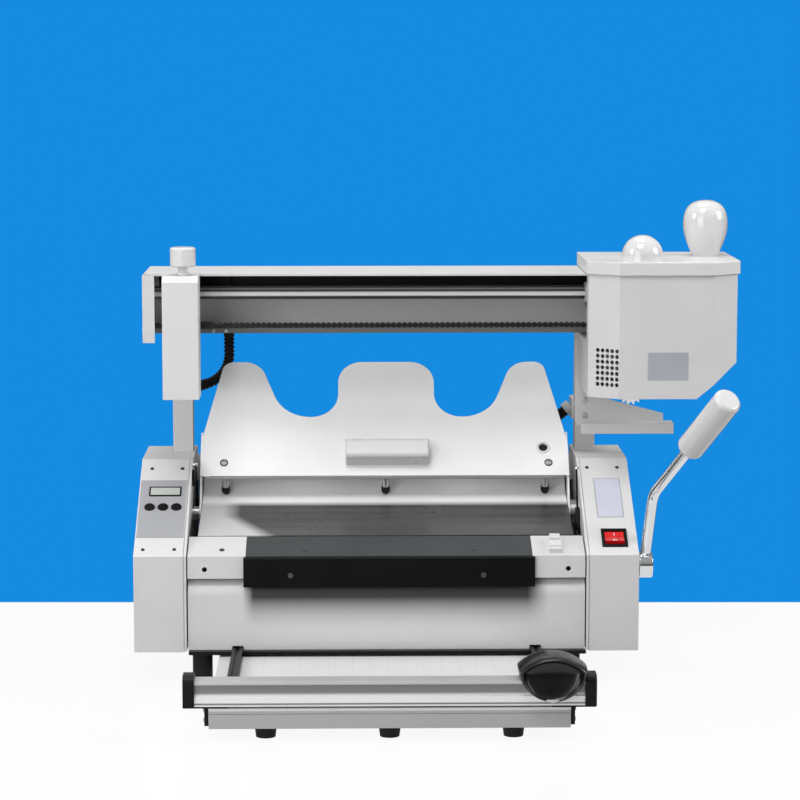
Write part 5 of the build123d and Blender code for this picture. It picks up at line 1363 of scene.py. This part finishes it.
@dataclass
class Stage:
    """Floor, backdrop colour, lamps and camera."""

    datum: Datum
    focal_pixels: float = 2700.0
    picture_pixels: float = 800.0
    sensor: float = 36.0
    drop_pixels: float = 360.0
    turn_pixels: float = 50.0
    camera_place: Triple = (-41.0, -3040.0, 735.0)
    horizon_y: float = 455.0
    floor_size: Triple = (12.0, 8.0, 1.0)
    floor_glow: float = 0.82
    glow_strength: float = 1.12
    horizon_light: float = 0.08
    zenith_light: float = 0.44
    backdrop: Triple = field(default_factory=lambda: linear(22, 139, 224))
    lamps: tuple = (
        ("main_lamp", (-300, -1100, 2450), (0, 60, 200), 1.1, 26.0),
        ("low_lamp", (-1100, -2100, 800), (0, 100, 250), 1.4, 19.0),
        ("top_lamp", (100, 600, 2300), (0, 100, 300), 1.0, 12.0),
        ("left_lamp", (-2300, -700, 1500), (0, 60, 250), 1.0, 20.0),
        ("right_lamp", (2400, -300, 1300), (100, 60, 250), 1.0, 30.0),
    )

    @property
    def yaw(self) -> float:
        """Turn of the camera to the right."""
        return math.atan(self.turn_pixels / self.focal_pixels)

    def build(self) -> None:
        """Builds the whole stage."""
        self.build_floor()
        self.build_world()
        for lamp in self.lamps:
            self.add_lamp(*lamp)
        self.build_camera()
        bpy.context.scene.view_settings.view_transform = "Standard"

    def build_floor(self) -> None:
        """Pale floor whose far edge is the photograph's skyline."""
        Bench.clear()
        bpy.ops.mesh.primitive_plane_add(size=1.0)
        floor = bpy.context.object
        floor.name = "studio_floor"
        pivot = self.datum.point(self.camera_place[0], self.horizon_y, 0)
        turn = Matrix.Rotation(-self.yaw, 4, "Z")
        forward = Matrix.Translation(Vector((0, -self.floor_size[1] / 2, 0)))
        floor.data.transform(Matrix.Translation(pivot) @ turn @ forward @ Matrix.Diagonal((*self.floor_size, 1.0)))
        material = bpy.data.materials.new("pale_floor")
        material.use_nodes = True
        wires = Wiring(material.node_tree)
        shader = material.node_tree.nodes["Principled BSDF"]
        shader.inputs["Base Color"].default_value = (0.30, 0.30, 0.30, 1.0)
        shader.inputs["Roughness"].default_value = 0.20
        shader.inputs["Specular IOR Level"].default_value = 0.40
        glow = wires.add("ShaderNodeEmission")
        glow.inputs["Strength"].default_value = self.glow_strength
        ray = wires.add("ShaderNodeLightPath")
        seen = wires.math("MAXIMUM", ray.outputs["Is Camera Ray"], ray.outputs["Is Glossy Ray"])
        floor_look = wires.blend(wires.times(seen, self.floor_glow), shader.outputs[0], glow.outputs[0])
        wires.join(floor_look, material.node_tree.nodes["Material Output"].inputs["Surface"])
        floor.data.materials.append(material)

    def build_world(self) -> None:
        """Pale light that is brighter above, and the photograph's blue behind the machine."""
        world = bpy.data.worlds.new("studio")
        bpy.context.scene.world = world
        world.use_nodes = True
        wires = Wiring(world.node_tree)
        nodes = world.node_tree.nodes
        light = nodes["Background"]
        light.inputs["Color"].default_value = (1.0, 1.0, 1.0, 1.0)
        parts = wires.parts(wires.add("ShaderNodeTexCoord").outputs["Generated"])
        rise = wires.times(wires.ramp(parts["Z"], 0.10, 0.55), self.zenith_light - self.horizon_light)
        wires.join(wires.math("ADD", rise, self.horizon_light), light.inputs["Strength"])
        blue = wires.add("ShaderNodeBackground")
        blue.inputs["Color"].default_value = (*self.backdrop, 1.0)
        ray = wires.add("ShaderNodeLightPath")
        sky = wires.blend(ray.outputs["Is Camera Ray"], light.outputs[0], blue.outputs[0])
        wires.join(sky, nodes["World Output"].inputs["Surface"])

    def add_lamp(self, name: str, place: Triple, aim: Triple, size: float, watts: float) -> None:
        """Adds a square lamp.

        Args:
            name: Its name.
            place: Its drawing place in millimetres.
            aim: The drawing point that it looks at.
            size: Its side in metres.
            watts: Its power.
        """
        data = bpy.data.lights.new(name, "AREA")
        data.shape = "SQUARE"
        data.size = size
        data.energy = watts
        lamp = bpy.data.objects.new(name, data)
        bpy.context.scene.collection.objects.link(lamp)
        start = self.datum.point(*place)
        way = self.datum.point(*aim) - start
        lamp.matrix_world = Matrix.Translation(start) @ way.to_track_quat("-Z", "Y").to_matrix().to_4x4()

    def build_camera(self) -> None:
        """Camera at the photograph's place and angle."""
        data = bpy.data.cameras.new("camera")
        data.sensor_width = self.sensor
        data.lens = self.sensor * self.focal_pixels / self.picture_pixels
        data.clip_end = 50.0
        camera = bpy.data.objects.new("camera", data)
        bpy.context.scene.collection.objects.link(camera)
        camera.location = self.datum.point(*self.camera_place)
        pitch = math.atan(self.drop_pixels / self.focal_pixels)
        camera.rotation_euler = (math.pi / 2 - pitch, 0.0, -self.yaw)
        bpy.context.scene.camera = camera


def main() -> None:
    """Builds the machine's finishes and small pieces, the stage and the camera."""
    logging.basicConfig(level=logging.INFO, format="%(name)s: %(message)s")
    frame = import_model()
    datum = Datum.from_frame()
    shelf = MaterialShelf(EffectGroups.build())
    bench = Bench(shelf)
    NodeDressing().dress(frame["nodes"], shelf)
    panel = ControlPanel(bench, datum)
    panel.build(frame["nodes"])
    Labels(bench, datum, panel).build()
    TableFittings(bench, datum).build()
    ShuttleGrip(bench, datum).build()
    SideLinks(bench, datum).build()
    ScrewHeads(bench, datum).build(frame["nodes"]["frame_screws"])
    Stage(datum).build()


if __name__ == "__main__":
    main()
